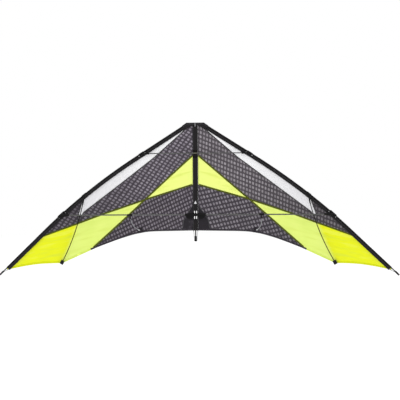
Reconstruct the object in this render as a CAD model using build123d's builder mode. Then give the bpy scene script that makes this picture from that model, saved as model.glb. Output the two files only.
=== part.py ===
from build123d import *
import os

# Delta sport kite in its flying shape, millimetres. The origin is where the spine crosses the lower
# spreaders. +Z runs up to the nose, +X to the flyer's right, and -Y faces the flyer, so the frame is
# in front and the sail fills backwards, towards +Y. Wing pieces are drawn for the right wing and
# mirrored for the left one.

# Leading edge: the rod's axis from the nose, round one long bend, to the wing tip
LE_NOSE = Vector(36, 0, 437)
LE_CORNER = Vector(530, 0, 122)  # where its two straight runs would meet
LE_TIP = Vector(962, 30, -288)
LE_BEND_RADIUS = 2850
LE_PLAN_RADIUS = 2945  # the same bend, seen square to the frame
FERRULE_REACH = 608  # distance of the joint between the two rods from the nose end
SLEEVE_START = 13
SLEEVE_TIP_SHORTFALL = 48  # bare rod beyond the sleeve, at the wing tip
UPPER_CONNECTOR_REACH = 266
LOWER_CONNECTOR_REACH = 756
ROD_END_GAP = 2  # clear of the blind end of the tip cap

# Rods and their holes
LE_RADIUS = 2.75
SPINE_RADIUS = 3.0
LOWER_SPREADER_RADIUS = 3.0
UPPER_SPREADER_RADIUS = 2.5
BATTEN_RADIUS = 2.0
STANDOFF_RADIUS = 1.5
SOCKET_GAP = 0.06  # between a rod and the socket that grips it
RUNNING_GAP = 0.35  # between a rod and a fitting that turns on it
END_GAP = 0.2  # between a rod's end and the bottom of its socket
ROD_WALL = 1.0

# Spine
SPINE_TOP = 432
SPINE_BOTTOM = -123
SLEEVE_HALF_WIDTH = 12
SLEEVE_HALF_DEPTH = 4.7
SLEEVE_CLOTH = 0.9
SLEEVE_TOP = 428
SLEEVE_BOTTOM = -76
WINDOW_WIDTH = 14.5
WINDOW_TOP = 18
WINDOW_BOTTOM = -20

# Spreaders
UPPER_SPREADER_Y = -9  # the spreaders pass in front of the spine
LOWER_SPREADER_Y = -11.5
UPPER_SPREADER_Z = 294
LOWER_SPREADER_Z = 0
UPPER_SPREADER_HALF = 243
LOWER_SPREADER_INNER = 14

# Leading edge sleeve
LE_SLEEVE_RADIUS = 4.2
LE_SLEEVE_BORE = 3.3
LE_FIN_REACH = 17  # width of the flat, sewn part of the sleeve below the rod
LE_FIN_THICKNESS = 2
LE_NOTCH_DEPTH = 7.6

# Sail
SAIL_THICKNESS = 1.0
SEAM_X = 13.5  # inner edge of each wing's sail, beside the spine sleeve
HEM_WIDTH = 8
HEM_THICKNESS = 1.8
SAIL_STATIONS = (  # x, height of the leading edge, sail depth there, sail depth at the trailing edge
    (0, 460, 1, -6),
    (50, 428, 1, 21),
    (100, 396, 1, 47),
    (150, 364, 1, 75),
    (220, 320, 1, 117),
    (290, 275, 1, 149),
    (350, 236, 1, 156),
    (410, 194, 2, 150),
    (470, 150, 3, 136),
    (530, 104, 5, 120),
    (590, 56, 7, 103),
    (650, 4, 10, 88),
    (720, -60, 14, 73),
    (790, -125, 19, 60),
    (865, -196, 24, 49),
    (940, -267, 29, 40),
)
SEAM_CROSSING = (255, 73)
SEAM_A_SPINE = (0, 295)
SEAM_A_TRAILING = (582, -219)
SEAM_B_SPINE = (0, 148.5)
SEAM_B_MIDDLE = (460, 4)
SEAM_B_LEADING = (824, -129)
SEAM_B_JOINT = (582, -41.75)
MESH_NOSE = (20, 432)
MESH_MIDDLE = (200, 276)
MESH_CORNER = (550, 13)
MESH_FOOT_INNER = (561, -5)
MESH_FOOT_OUTER = (578, -5)
MESH_TOP_OUTER = (547, 80)
BATTEN_POINT = (667, -237)

# Standoff and outer batten
CLIP_X = 316
STANDOFF_START = Vector(CLIP_X, 9, -16)
STANDOFF_AIM = Vector(0, 0.75, -0.66)
STANDOFF_END = Vector(291, 121, -76)
BATTEN_START = Vector(544, -5.5, 60)
BATTEN_MIDDLE = Vector(590, 28, -80)
BATTEN_END = Vector(665, 75, -232)

# Caps and tension cords
TAIL_CAP_TOP = -103
TAIL_CAP_BOTTOM = -128
TAIL_CAP_RADIUS = 5.5
TIP_CAP_LENGTH = 27
TIP_CAP_RADIUS = 4.5
CORD_RADIUS = 0.9
NOCK_WIDTH = 2.6
NOCK_DEPTH = 6


os.makedirs("parts", exist_ok=True)


def write(piece, name):
    """Label one finished piece and write its file."""
    piece.part.label = name
    export_step(piece.part, f"parts/{name}.step")


def write_pair(piece, name):
    """Write a wing piece for the right wing, and its mirror image for the left wing."""
    write(piece, f"right_{name}")
    with BuildPart() as mirrored:
        mirror(piece.part, about=Plane.YZ)
    write(mirrored, f"left_{name}")


def cross_plane(path, reach):
    """Plane across a leading edge path: X points outwards from the sail, Y to the flyer."""
    along = path.wire().tangent_at(reach, position_mode=PositionMode.LENGTH)
    origin = path.wire().position_at(reach, position_mode=PositionMode.LENGTH)
    return Plane(origin=origin, x_dir=along.cross(Vector(0, 1, 0)), z_dir=along)


def leading_edge_path(start, end):
    """Path of the leading edge between two points on its two straight runs."""
    with BuildLine() as path:
        FilletPolyline(start, LE_CORNER, end, radius=LE_BEND_RADIUS)
    return path


def rod(path, radius, wall=0):
    """Round rod along a path, or a tube where a wall is given."""
    with BuildPart() as piece:
        with BuildSketch(Plane(origin=path.line @ 0, z_dir=path.line % 0)):
            Circle(radius)
            if wall:
                Circle(radius - wall, mode=Mode.SUBTRACT)
        sweep(path=path.line)
    return piece


def straight_path(start, end):
    """Path with one straight run."""
    with BuildLine() as path:
        Line(start, end)
    return path


# --- Leading edge line ---------------------------------------------------------------------------
le_down = (LE_CORNER - LE_NOSE).normalized()
le_out = (LE_TIP - LE_CORNER).normalized()
whole_edge = leading_edge_path(LE_NOSE, LE_TIP)
bend_start, bend_end = [Vector(*vertex) for vertex in whole_edge.vertices().sort_by(Axis.X)[1:3]]
sleeve_end = LE_TIP - le_out * SLEEVE_TIP_SHORTFALL


# --- Spine ---------------------------------------------------------------------------------------
spine_rod = rod(straight_path((0, 0, SPINE_BOTTOM), (0, 0, SPINE_TOP)), SPINE_RADIUS, ROD_WALL)
write(spine_rod, "spine_rod")

with BuildPart() as spine_sleeve:
    with BuildSketch(Plane.XY.offset(SLEEVE_BOTTOM)):
        RectangleRounded(2 * SLEEVE_HALF_WIDTH, 2 * SLEEVE_HALF_DEPTH, SLEEVE_HALF_DEPTH - 0.5)
        inner_width = 2 * (SLEEVE_HALF_WIDTH - SLEEVE_CLOTH)
        inner_depth = 2 * (SLEEVE_HALF_DEPTH - SLEEVE_CLOTH)
        RectangleRounded(inner_width, inner_depth, inner_depth / 2 - 0.5, mode=Mode.SUBTRACT)
    extrude(amount=SLEEVE_TOP - SLEEVE_BOTTOM)
    with Locations((0, 0, (WINDOW_TOP + WINDOW_BOTTOM) / 2)):
        Box(WINDOW_WIDTH, 4 * SLEEVE_HALF_DEPTH, WINDOW_TOP - WINDOW_BOTTOM, mode=Mode.SUBTRACT)
write(spine_sleeve, "spine_sleeve")


# --- Centre T ------------------------------------------------------------------------------------
TEE_ARM_RADIUS = 6.4
TEE_ARM_END = 50
TEE_COLLAR_HEIGHT = 15
TEE_RIB_DEPTH = 19
TEE_RIB_MID_DEPTH = 14
TEE_RIB_THICKNESS = 4
TEE_RIB_XS = (12, 46, 42, 34, 14)
TEE_CHAMFER = 1.2

with BuildPart() as centre_tee:
    with BuildSketch(Plane.YZ.offset(-TEE_ARM_END)):
        with Locations((LOWER_SPREADER_Y, LOWER_SPREADER_Z)):
            Circle(TEE_ARM_RADIUS)
    extrude(amount=2 * TEE_ARM_END)
    chamfer(centre_tee.faces().sort_by(Axis.X)[-1].edges(), TEE_CHAMFER)
    chamfer(centre_tee.faces().sort_by(Axis.X)[0].edges(), TEE_CHAMFER)
    with BuildSketch(Plane.XY.offset(LOWER_SPREADER_Z - TEE_COLLAR_HEIGHT / 2)):
        SlotCenterPoint((0, LOWER_SPREADER_Y / 2), (0, 0), 2 * TEE_ARM_RADIUS - 1)
    extrude(amount=TEE_COLLAR_HEIGHT)
    with BuildSketch(Plane.XZ.offset(-LOWER_SPREADER_Y)):
        with BuildLine():
            rib_inner, rib_outer, rib_shoulder, rib_foot, rib_heel = TEE_RIB_XS
            Polyline(
                (rib_inner, 0), (rib_outer, 0), (rib_shoulder, -TEE_RIB_MID_DEPTH),
                (rib_foot, -TEE_RIB_DEPTH), (rib_heel, -TEE_RIB_DEPTH), close=True,
            )
        make_face()
        mirror(about=Plane.YZ)
    extrude(amount=TEE_RIB_THICKNESS / 2, both=True)
    with BuildSketch(Plane.YZ.offset(LOWER_SPREADER_INNER - 1)):
        with Locations((LOWER_SPREADER_Y, LOWER_SPREADER_Z)):
            Circle(LOWER_SPREADER_RADIUS + SOCKET_GAP)
    right_socket = extrude(amount=TEE_ARM_END, mode=Mode.SUBTRACT)
    mirror(right_socket, about=Plane.YZ, mode=Mode.SUBTRACT)
    with Locations((0, 0, LOWER_SPREADER_Z)):
        Cylinder(SPINE_RADIUS + SOCKET_GAP, 4 * TEE_COLLAR_HEIGHT, mode=Mode.SUBTRACT)
write(centre_tee, "centre_tee")


# --- Nose patch: webbing folded over the spine and both leading edges --------------------------------
NOSE_TOP = 440.5
NOSE_HALF_DEPTH = 6.2
NOSE_CLOTH = 1.1
NOSE_FLAT_HALF = 42
NOSE_CHEEK_OUTER = (64, 425.4)
NOSE_CHEEK_INNER = (51, 410)
NOSE_THROAT = (13.5, 426)
NOSE_INSIDE_SLOPE_END = (122, 384.4)
NOSE_INSIDE_FOOT = 340
NOSE_LOOP_HALF_WIDTH = 2.4
NOSE_LOOP_DROP = 18
TRIM_GAP = 0.1  # between a sewn-on piece and the cloth below it
TAPE_THICKNESS = 1.2

with BuildPart() as nose_patch:
    with BuildSketch(Plane.XZ):
        with BuildLine():
            Polyline(
                (0, NOSE_TOP), (NOSE_FLAT_HALF, NOSE_TOP), NOSE_CHEEK_OUTER, NOSE_CHEEK_INNER,
                NOSE_THROAT, (0, NOSE_THROAT[1]), (0, NOSE_TOP),
            )
        make_face()
        mirror(about=Plane.YZ)
    extrude(amount=NOSE_HALF_DEPTH, both=True)
    with BuildSketch(Plane.XZ):
        with BuildLine():
            lowered = NOSE_TOP - NOSE_CLOTH
            Polyline(
                (0, lowered), (NOSE_FLAT_HALF, lowered), NOSE_INSIDE_SLOPE_END,
                (NOSE_FLAT_HALF, NOSE_INSIDE_FOOT), (0, NOSE_INSIDE_FOOT), (0, lowered),
            )
        make_face()
        mirror(about=Plane.YZ)
    extrude(amount=NOSE_HALF_DEPTH - NOSE_CLOTH, both=True, mode=Mode.SUBTRACT)
write(nose_patch, "nose_patch")

with BuildPart() as nose_loop:
    with BuildSketch(Plane.XZ.offset(NOSE_HALF_DEPTH + TRIM_GAP)):
        with Locations((0, NOSE_TOP - NOSE_LOOP_DROP / 2 - 1)):
            RectangleRounded(2 * NOSE_LOOP_HALF_WIDTH, NOSE_LOOP_DROP, 1)
    extrude(amount=TAPE_THICKNESS)
write(nose_loop, "nose_loop")


# --- Upper spreader and the keeper that holds it to the spine -----------------------------------------
upper_line = straight_path(
    (-UPPER_SPREADER_HALF, UPPER_SPREADER_Y, UPPER_SPREADER_Z),
    (UPPER_SPREADER_HALF, UPPER_SPREADER_Y, UPPER_SPREADER_Z),
)
upper_spreader = rod(upper_line, UPPER_SPREADER_RADIUS, ROD_WALL)
write(upper_spreader, "upper_spreader")

KEEPER_HEIGHT = 38
KEEPER_CLOTH = 1.1
KEEPER_DROP = 4
KEEPER_LOOP_HALF = 9
keeper_y = -SLEEVE_HALF_DEPTH - TRIM_GAP - KEEPER_CLOTH / 2
with BuildPart() as spreader_keeper:
    with Locations((0, keeper_y, UPPER_SPREADER_Z - KEEPER_DROP)):
        Box(2 * SLEEVE_HALF_WIDTH, KEEPER_CLOTH, KEEPER_HEIGHT)
    with BuildSketch(Plane.YZ):
        with Locations((UPPER_SPREADER_Y, UPPER_SPREADER_Z)):
            Circle(UPPER_SPREADER_RADIUS + SOCKET_GAP + KEEPER_CLOTH)
    extrude(amount=KEEPER_LOOP_HALF, both=True)
    with BuildSketch(Plane.YZ):
        with Locations((UPPER_SPREADER_Y, UPPER_SPREADER_Z)):
            Circle(UPPER_SPREADER_RADIUS + SOCKET_GAP)
    extrude(amount=2 * SLEEVE_HALF_WIDTH, both=True, mode=Mode.SUBTRACT)
write(spreader_keeper, "spreader_keeper")

# Small stitched tab on the front of the spine sleeve
TAB_BOTTOM = 52
TAB_TOP = 66
TAB_HALF_WIDTH = 6.5
TAB_THICKNESS = 0.8
with BuildPart() as sleeve_tab:
    with BuildSketch(Plane.XZ.offset(SLEEVE_HALF_DEPTH + TRIM_GAP)):
        with BuildLine():
            Polyline((-TAB_HALF_WIDTH, TAB_BOTTOM), (TAB_HALF_WIDTH, TAB_BOTTOM), (0, TAB_TOP), close=True)
        make_face()
    extrude(amount=TAB_THICKNESS)
write(sleeve_tab, "sleeve_tab")


# --- Tail cap and its tension cord ----------------------------------------------------------------
TAIL_CAP_ROUND = 1.2
TAIL_CAP_CHAMFER = 1.0
TAIL_NOCK_DEPTH = 4
with BuildPart() as tail_cap:
    with BuildSketch(Plane.XY.offset(TAIL_CAP_BOTTOM)):
        Circle(TAIL_CAP_RADIUS)
    extrude(amount=TAIL_CAP_TOP - TAIL_CAP_BOTTOM)
    fillet(tail_cap.edges().group_by(Axis.Z)[0], TAIL_CAP_ROUND)
    chamfer(tail_cap.edges().group_by(Axis.Z)[-1], TAIL_CAP_CHAMFER)
    with BuildSketch(Plane.XY.offset(SPINE_BOTTOM - END_GAP)):
        Circle(SPINE_RADIUS + SOCKET_GAP)
    extrude(amount=2 * (TAIL_CAP_TOP - SPINE_BOTTOM), mode=Mode.SUBTRACT)
    with Locations((0, 0, TAIL_CAP_BOTTOM)):
        Box(4 * TAIL_CAP_RADIUS, NOCK_WIDTH, 2 * TAIL_NOCK_DEPTH, mode=Mode.SUBTRACT)
write(tail_cap, "tail_cap")

TAIL_CORD_ANCHOR = (10.5, SLEEVE_BOTTOM - 0.3)
TAIL_CORD_SIDE = 6.9
TAIL_CORD_TOP = TAIL_CAP_TOP + 1
TAIL_CORD_LOW = TAIL_CAP_BOTTOM + 1.6
CORD_BEND = 3
anchor_x, anchor_z = TAIL_CORD_ANCHOR
with BuildLine() as tail_cord_path:
    FilletPolyline(
        (anchor_x, 0, anchor_z),
        (TAIL_CORD_SIDE, 0, TAIL_CORD_TOP),
        (TAIL_CORD_SIDE, 0, TAIL_CORD_LOW),
        (-TAIL_CORD_SIDE, 0, TAIL_CORD_LOW),
        (-TAIL_CORD_SIDE, 0, TAIL_CORD_TOP),
        (-anchor_x, 0, anchor_z),
        radius=CORD_BEND,
    )
tail_cord = rod(tail_cord_path, CORD_RADIUS)
write(tail_cord, "tail_tension_cord")


# --- Leading edge rods and ferrule -----------------------------------------------------------------
FERRULE_HALF = 26


def edge_point(reach):
    """Point of the leading edge rod's axis at a distance from its nose end."""
    return whole_edge.wire().position_at(reach, position_mode=PositionMode.LENGTH)


def bent_stretch(start, end):
    """Part of the leading edge's bend between two distances from the nose."""
    return ThreePointArc(edge_point(start), edge_point((start + end) / 2), edge_point(end))


bend_start_reach = (bend_start - LE_NOSE).length
bend_end_reach = whole_edge.wire().length - (LE_TIP - bend_end).length
with BuildLine() as upper_path:
    Line(LE_NOSE, bend_start)
    bent_stretch(bend_start_reach, FERRULE_REACH)
upper_rod = rod(upper_path, LE_RADIUS, ROD_WALL)
write_pair(upper_rod, "upper_leading_edge_rod")

with BuildLine() as lower_path:
    bent_stretch(FERRULE_REACH, bend_end_reach)
    Line(bend_end, LE_TIP - le_out * ROD_END_GAP)
lower_rod = rod(lower_path, LE_RADIUS, ROD_WALL)
write_pair(lower_rod, "lower_leading_edge_rod")

with BuildLine() as ferrule_path:
    bent_stretch(FERRULE_REACH - FERRULE_HALF, FERRULE_REACH + FERRULE_HALF)
ferrule = rod(ferrule_path, LE_RADIUS - ROD_WALL - SOCKET_GAP)
write_pair(ferrule, "leading_edge_ferrule")


# --- Leading edge sleeve ---------------------------------------------------------------------------
sleeve_path = leading_edge_path(LE_NOSE + le_down * SLEEVE_START, sleeve_end)
FITTING_OPENINGS = (  # reach from the nose, length of the opening
    (UPPER_CONNECTOR_REACH, 44),
    (FERRULE_REACH, 30),
    (LOWER_CONNECTOR_REACH, 54),
)
with BuildPart() as le_sleeve:
    with BuildSketch(cross_plane(sleeve_path, 0)):
        Circle(LE_SLEEVE_RADIUS)
        with Locations((-LE_FIN_REACH / 2, 0)):
            Rectangle(LE_FIN_REACH, LE_FIN_THICKNESS)
        Circle(LE_SLEEVE_BORE, mode=Mode.SUBTRACT)
    sweep(path=sleeve_path.line)
    for reach, length in FITTING_OPENINGS:
        with BuildSketch(cross_plane(whole_edge, reach)):
            Rectangle(2 * LE_NOTCH_DEPTH, 6 * LE_SLEEVE_RADIUS)
        extrude(amount=length / 2, both=True, mode=Mode.SUBTRACT)
write_pair(le_sleeve, "leading_edge_sleeve")


# --- Fittings on the leading edge --------------------------------------------------------------------
UPPER_COLLAR_HALF = 14
UPPER_COLLAR_RADIUS = 5.8
UPPER_ARM_RADIUS = 4.5
UPPER_ARM_END = 222
LOWER_COLLAR_HALF = 19
LOWER_COLLAR_RADIUS = 7.2
LOWER_ARM_RADIUS = 5.4
LOWER_ARM_END = 612
LOWER_SPREADER_OUTER = 646
NECK_SIZE = (8, 7)


def connector_body(plane, collar_half, collar_radius, arm_radius, arm_end, axis):
    """Outside of a moulded fitting: a collar on the leading edge, an arm and the neck between them."""
    axis_y, axis_z = axis
    with BuildPart() as body:
        with BuildSketch(plane):
            Circle(collar_radius)
        extrude(amount=collar_half, both=True)
        with BuildSketch(Plane.YZ.offset(arm_end)):
            with Locations(axis):
                Circle(arm_radius)
        extrude(amount=plane.origin.X + 2 - arm_end)
        with BuildSketch(Plane.XZ.offset(-axis_y)):
            with Locations((plane.origin.X - 1, axis_z)):
                Rectangle(*NECK_SIZE)
        extrude(amount=axis_y - plane.origin.Y)
    return body


def drill_connector(body, plane, edge_gap, arm_end, rod_radius, bore_end, axis):
    """Hole for the leading edge right through the collar, and a blind hole for the spreader."""
    with BuildPart() as piece:
        add(body.part)
        with BuildSketch(Plane.YZ.offset(arm_end - 1)):
            with Locations(axis):
                Circle(rod_radius + SOCKET_GAP)
        extrude(amount=bore_end - arm_end + 1, mode=Mode.SUBTRACT)
        with BuildSketch(plane):
            Circle(LE_RADIUS + edge_gap)
        extrude(amount=3 * LOWER_COLLAR_HALF, both=True, mode=Mode.SUBTRACT)
    return piece


upper_plane = cross_plane(whole_edge, UPPER_CONNECTOR_REACH)
upper_axis = (UPPER_SPREADER_Y, UPPER_SPREADER_Z)
upper_body = connector_body(
    upper_plane, UPPER_COLLAR_HALF, UPPER_COLLAR_RADIUS, UPPER_ARM_RADIUS, UPPER_ARM_END, upper_axis,
)
upper_connector = drill_connector(
    upper_body, upper_plane, SOCKET_GAP, UPPER_ARM_END, UPPER_SPREADER_RADIUS,
    UPPER_SPREADER_HALF + END_GAP, upper_axis,
)
write_pair(upper_connector, "upper_connector")

lower_plane = cross_plane(whole_edge, LOWER_CONNECTOR_REACH)
lower_axis = (LOWER_SPREADER_Y, LOWER_SPREADER_Z)
lower_body = connector_body(
    lower_plane, LOWER_COLLAR_HALF, LOWER_COLLAR_RADIUS, LOWER_ARM_RADIUS, LOWER_ARM_END, lower_axis,
)
lower_connector = drill_connector(
    lower_body, lower_plane, RUNNING_GAP, LOWER_ARM_END, LOWER_SPREADER_RADIUS,
    LOWER_SPREADER_OUTER + END_GAP, lower_axis,
)
write_pair(lower_connector, "lower_connector")

# Batten fitting: a collar at the ferrule and a thin arm that takes the top of the outer batten
BATTEN_ARM_RADIUS = 3.1
BATTEN_COLLAR_RADIUS = 5.8
BATTEN_COLLAR_HALF = 12
BATTEN_ROOT_FORWARD = 4.6
BATTEN_SOCKET_DEPTH = 10
batten_plane = cross_plane(whole_edge, FERRULE_REACH)
batten_root = batten_plane.origin - Vector(0, BATTEN_ROOT_FORWARD, 0)
with BuildLine() as batten_path:
    ThreePointArc(BATTEN_START, BATTEN_MIDDLE, BATTEN_END)
batten_aim = batten_path.line % 0
batten_mouth = BATTEN_START + batten_aim * BATTEN_SOCKET_DEPTH
with BuildPart() as batten_connector:
    with BuildSketch(batten_plane):
        Circle(BATTEN_COLLAR_RADIUS)
    extrude(amount=BATTEN_COLLAR_HALF, both=True)
    with BuildSketch(Plane(origin=batten_mouth, z_dir=batten_aim)):
        Circle(BATTEN_ARM_RADIUS)
    extrude(amount=-BATTEN_SOCKET_DEPTH - BATTEN_ARM_RADIUS)
    with BuildSketch(Plane(origin=batten_root, z_dir=BATTEN_START - batten_root)):
        Circle(BATTEN_ARM_RADIUS)
    extrude(amount=(BATTEN_START - batten_root).length)
    with BuildSketch(Plane(origin=BATTEN_START - batten_aim * END_GAP, z_dir=batten_aim)):
        Circle(BATTEN_RADIUS + SOCKET_GAP)
    extrude(amount=2 * BATTEN_SOCKET_DEPTH, mode=Mode.SUBTRACT)
    with BuildSketch(batten_plane):
        Circle(LE_RADIUS + SOCKET_GAP)
    extrude(amount=3 * BATTEN_COLLAR_HALF, both=True, mode=Mode.SUBTRACT)
write_pair(batten_connector, "batten_connector")

# Stop rings on the leading edge, one at each side of the upper and the lower connector
STOP_RADIUS = 4.4
STOP_HALF_LENGTH = 2
STOP_SPACINGS = ((UPPER_CONNECTOR_REACH, 17.2), (LOWER_CONNECTOR_REACH, 22.5))
with BuildPart() as connector_stops:
    for reach, spacing in STOP_SPACINGS:
        for place in (reach - spacing, reach + spacing):
            with BuildSketch(cross_plane(whole_edge, place)):
                Circle(STOP_RADIUS)
                Circle(LE_RADIUS + SOCKET_GAP, mode=Mode.SUBTRACT)
            extrude(amount=STOP_HALF_LENGTH, both=True)
write_pair(connector_stops, "connector_stops")


# --- Lower spreader, standoff clip and inner standoff ---------------------------------------------------
lower_line = straight_path(
    (LOWER_SPREADER_INNER, LOWER_SPREADER_Y, LOWER_SPREADER_Z),
    (LOWER_SPREADER_OUTER, LOWER_SPREADER_Y, LOWER_SPREADER_Z),
)
lower_spreader = rod(lower_line, LOWER_SPREADER_RADIUS, ROD_WALL)
write_pair(lower_spreader, "lower_spreader")

CLIP_HALF = 12
CLIP_RADIUS = 4.6
STEM_RADIUS = 3.1
STEM_SOCKET = 11  # how deep the standoff sits in the clip
STEM_SHOULDER = 8  # how much of the standoff is held straight
stem_aim = STANDOFF_AIM.normalized()
stem_root = Vector(CLIP_X, LOWER_SPREADER_Y, LOWER_SPREADER_Z)
stem_mouth = STANDOFF_START + stem_aim * (STEM_SOCKET - STEM_SHOULDER)
with BuildPart() as standoff_clip:
    with BuildSketch(Plane.YZ.offset(CLIP_X)):
        with Locations((LOWER_SPREADER_Y, LOWER_SPREADER_Z)):
            Circle(CLIP_RADIUS)
    extrude(amount=CLIP_HALF, both=True)
    with BuildSketch(Plane(origin=stem_mouth, z_dir=stem_aim)):
        Circle(STEM_RADIUS)
    extrude(amount=-(stem_mouth - stem_root).length)
    with BuildSketch(Plane(origin=stem_mouth - stem_aim * (STEM_SOCKET + END_GAP), z_dir=stem_aim)):
        Circle(STANDOFF_RADIUS + SOCKET_GAP)
    extrude(amount=2 * STEM_SOCKET, mode=Mode.SUBTRACT)
    with BuildSketch(Plane.YZ.offset(CLIP_X)):
        with Locations((LOWER_SPREADER_Y, LOWER_SPREADER_Z)):
            Circle(LOWER_SPREADER_RADIUS + SOCKET_GAP)
    extrude(amount=3 * CLIP_HALF, both=True, mode=Mode.SUBTRACT)
write_pair(standoff_clip, "standoff_clip")

with BuildLine() as standoff_path:
    Line(STANDOFF_START - stem_aim * STEM_SHOULDER, STANDOFF_START)
    TangentArc(STANDOFF_START, STANDOFF_END, tangent=stem_aim)
inner_standoff = rod(standoff_path, STANDOFF_RADIUS)
write_pair(inner_standoff, "inner_standoff")

TIP_BUTTON_RADIUS = 2.9
TIP_BUTTON_LENGTH = 13
TIP_BUTTON_SOCKET = 6
TIP_BUTTON_ROUND = 0.6
standoff_exit = standoff_path.line % 1
button_start = STANDOFF_END - standoff_exit * TIP_BUTTON_SOCKET
with BuildPart() as standoff_end:
    with BuildSketch(Plane(origin=button_start, z_dir=standoff_exit)):
        Circle(TIP_BUTTON_RADIUS)
    extrude(amount=TIP_BUTTON_LENGTH)
    fillet(standoff_end.edges(), TIP_BUTTON_ROUND)
    with BuildSketch(Plane(origin=STANDOFF_END + standoff_exit * END_GAP, z_dir=standoff_exit)):
        Circle(STANDOFF_RADIUS + 2 * SOCKET_GAP)
    extrude(amount=-2 * TIP_BUTTON_SOCKET, mode=Mode.SUBTRACT)
write_pair(standoff_end, "standoff_end")


# --- Outer batten and its end block ---------------------------------------------------------------------
outer_batten = rod(batten_path, BATTEN_RADIUS)
write_pair(outer_batten, "outer_batten")

BLOCK_WIDTH = 17
BLOCK_DEPTH = 6
BLOCK_LENGTH = 20
BLOCK_CORNER = 1.5
BLOCK_SOCKET = 9
BLOCK_CHAMFER = 0.6
batten_exit = batten_path.line % 1
block_across = batten_exit.cross(Vector(0, 1, 0))
block_plane = Plane(origin=BATTEN_END - batten_exit * BLOCK_SOCKET, x_dir=block_across, z_dir=batten_exit)
with BuildPart() as batten_block:
    with BuildSketch(block_plane):
        RectangleRounded(BLOCK_WIDTH, BLOCK_DEPTH, BLOCK_CORNER)
    extrude(amount=BLOCK_LENGTH)
    chamfer(batten_block.faces().sort_by(Axis(BATTEN_END, batten_exit))[-1].edges(), BLOCK_CHAMFER)
    with BuildSketch(block_plane):
        Circle(BATTEN_RADIUS + 2 * SOCKET_GAP)
    extrude(amount=BLOCK_SOCKET + END_GAP, mode=Mode.SUBTRACT)
write_pair(batten_block, "batten_block")


# --- Wing tip cap and tension cord ------------------------------------------------------------------------
TIP_CAP_END = 5  # how far the cap reaches beyond the leading edge's own length
TIP_CAP_CHAMFER = 0.9
tip_plane = Plane(origin=LE_TIP, x_dir=le_out.cross(Vector(0, 1, 0)), z_dir=le_out)
with BuildPart() as tip_cap:
    with BuildSketch(tip_plane.offset(TIP_CAP_END - TIP_CAP_LENGTH)):
        Circle(TIP_CAP_RADIUS)
    extrude(amount=TIP_CAP_LENGTH)
    chamfer(tip_cap.edges(), TIP_CAP_CHAMFER)
    with BuildSketch(tip_plane.offset(END_GAP - ROD_END_GAP)):
        Circle(LE_RADIUS + SOCKET_GAP)
    extrude(amount=-TIP_CAP_LENGTH, mode=Mode.SUBTRACT)
    with BuildSketch(tip_plane.offset(TIP_CAP_END + 1)):
        Rectangle(NOCK_WIDTH, 4 * TIP_CAP_RADIUS)
    extrude(amount=-NOCK_DEPTH, mode=Mode.SUBTRACT)
write_pair(tip_cap, "tip_cap")

TIP_CORD_ANCHOR = (-12, 1.7, 0.5 - SLEEVE_TIP_SHORTFALL)
TIP_CORD_SHOULDER = (-2, 6.4 + 1, -19)
TIP_CORD_NOCK = (0, 6.8, 3)
tip_strand = (TIP_CORD_ANCHOR, TIP_CORD_SHOULDER, TIP_CORD_NOCK)
tip_return = [(across, -depth, along) for across, depth, along in reversed(tip_strand)]
with BuildLine(tip_plane) as tip_cord_path:
    FilletPolyline(*tip_strand, *tip_return, radius=CORD_BEND)
tip_cord = rod(tip_cord_path, CORD_RADIUS)
write_pair(tip_cord, "tip_tension_cord")


# --- Sail ---------------------------------------------------------------------------------------------------
TE_SPINE = (SEAM_X, -76)
TE_LINE_END = (170, -81)
TE_CURVE = ((267, -88), (365, -112))
TE_CURVE_END = (508, -164.5)
TE_TIP_MIDDLE = (778, -240)
TE_TIP = (929, -266)
TIP_FOLD = Vector(929, 0, -257)
TIP_SLOPE = 0.14
LAYER_OVER_EDGE = 6  # how far a layer runs past the leading edge, trimmed off later
LAYER_BELOW_HEM = 30
LAYER_LEAST_HEIGHT = 20
FIN_GAP = 0.3


def trailing_height(x):
    """Rough height of the trailing edge, used to size the sail layers."""
    line_x, line_z = TE_LINE_END
    batten_x, batten_z = BATTEN_POINT
    if x < line_x:
        return line_z
    if x < batten_x:
        return line_z + (x - line_x) * (batten_z - line_z) / (batten_x - line_x)
    return batten_z - (x - batten_x) * TIP_SLOPE


def sail_layer(front, thickness):
    """Thin curved layer over one wing, its front face at the sail's front plus an offset."""
    with BuildPart() as layer:
        for x, edge, leading_depth, trailing_depth in SAIL_STATIONS:
            foot = min(trailing_height(x), edge - LAYER_LEAST_HEIGHT)
            slope = (trailing_depth - leading_depth) / (edge - foot)
            near = leading_depth - LAYER_OVER_EDGE * slope + front
            far = trailing_depth + LAYER_BELOW_HEM * slope + front
            top = edge + LAYER_OVER_EDGE
            bottom = foot - LAYER_BELOW_HEM
            with BuildSketch(Plane.YZ.offset(x)):
                with BuildLine():
                    Polyline(
                        (near, top), (far, bottom), (far + thickness, bottom), (near + thickness, top),
                        close=True,
                    )
                make_face()
        loft()
    return layer


def lifted(point, lift):
    """Point of the sail's plan moved up by a lift."""
    return (point[0], point[1] + lift)


def trailing_edge(lift):
    """Line of the trailing edge from the spine to the wing tip, moved up by a lift."""
    line_end = lifted(TE_LINE_END, lift)
    curve_end = lifted(TE_CURVE_END, lift)
    batten = lifted(BATTEN_POINT, lift)
    Line(lifted(TE_SPINE, lift), line_end)
    Spline(line_end, *[lifted(point, lift) for point in TE_CURVE], curve_end)
    Line(curve_end, batten)
    ThreePointArc(batten, lifted(TE_TIP_MIDDLE, lift), lifted(TE_TIP, lift))


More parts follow.
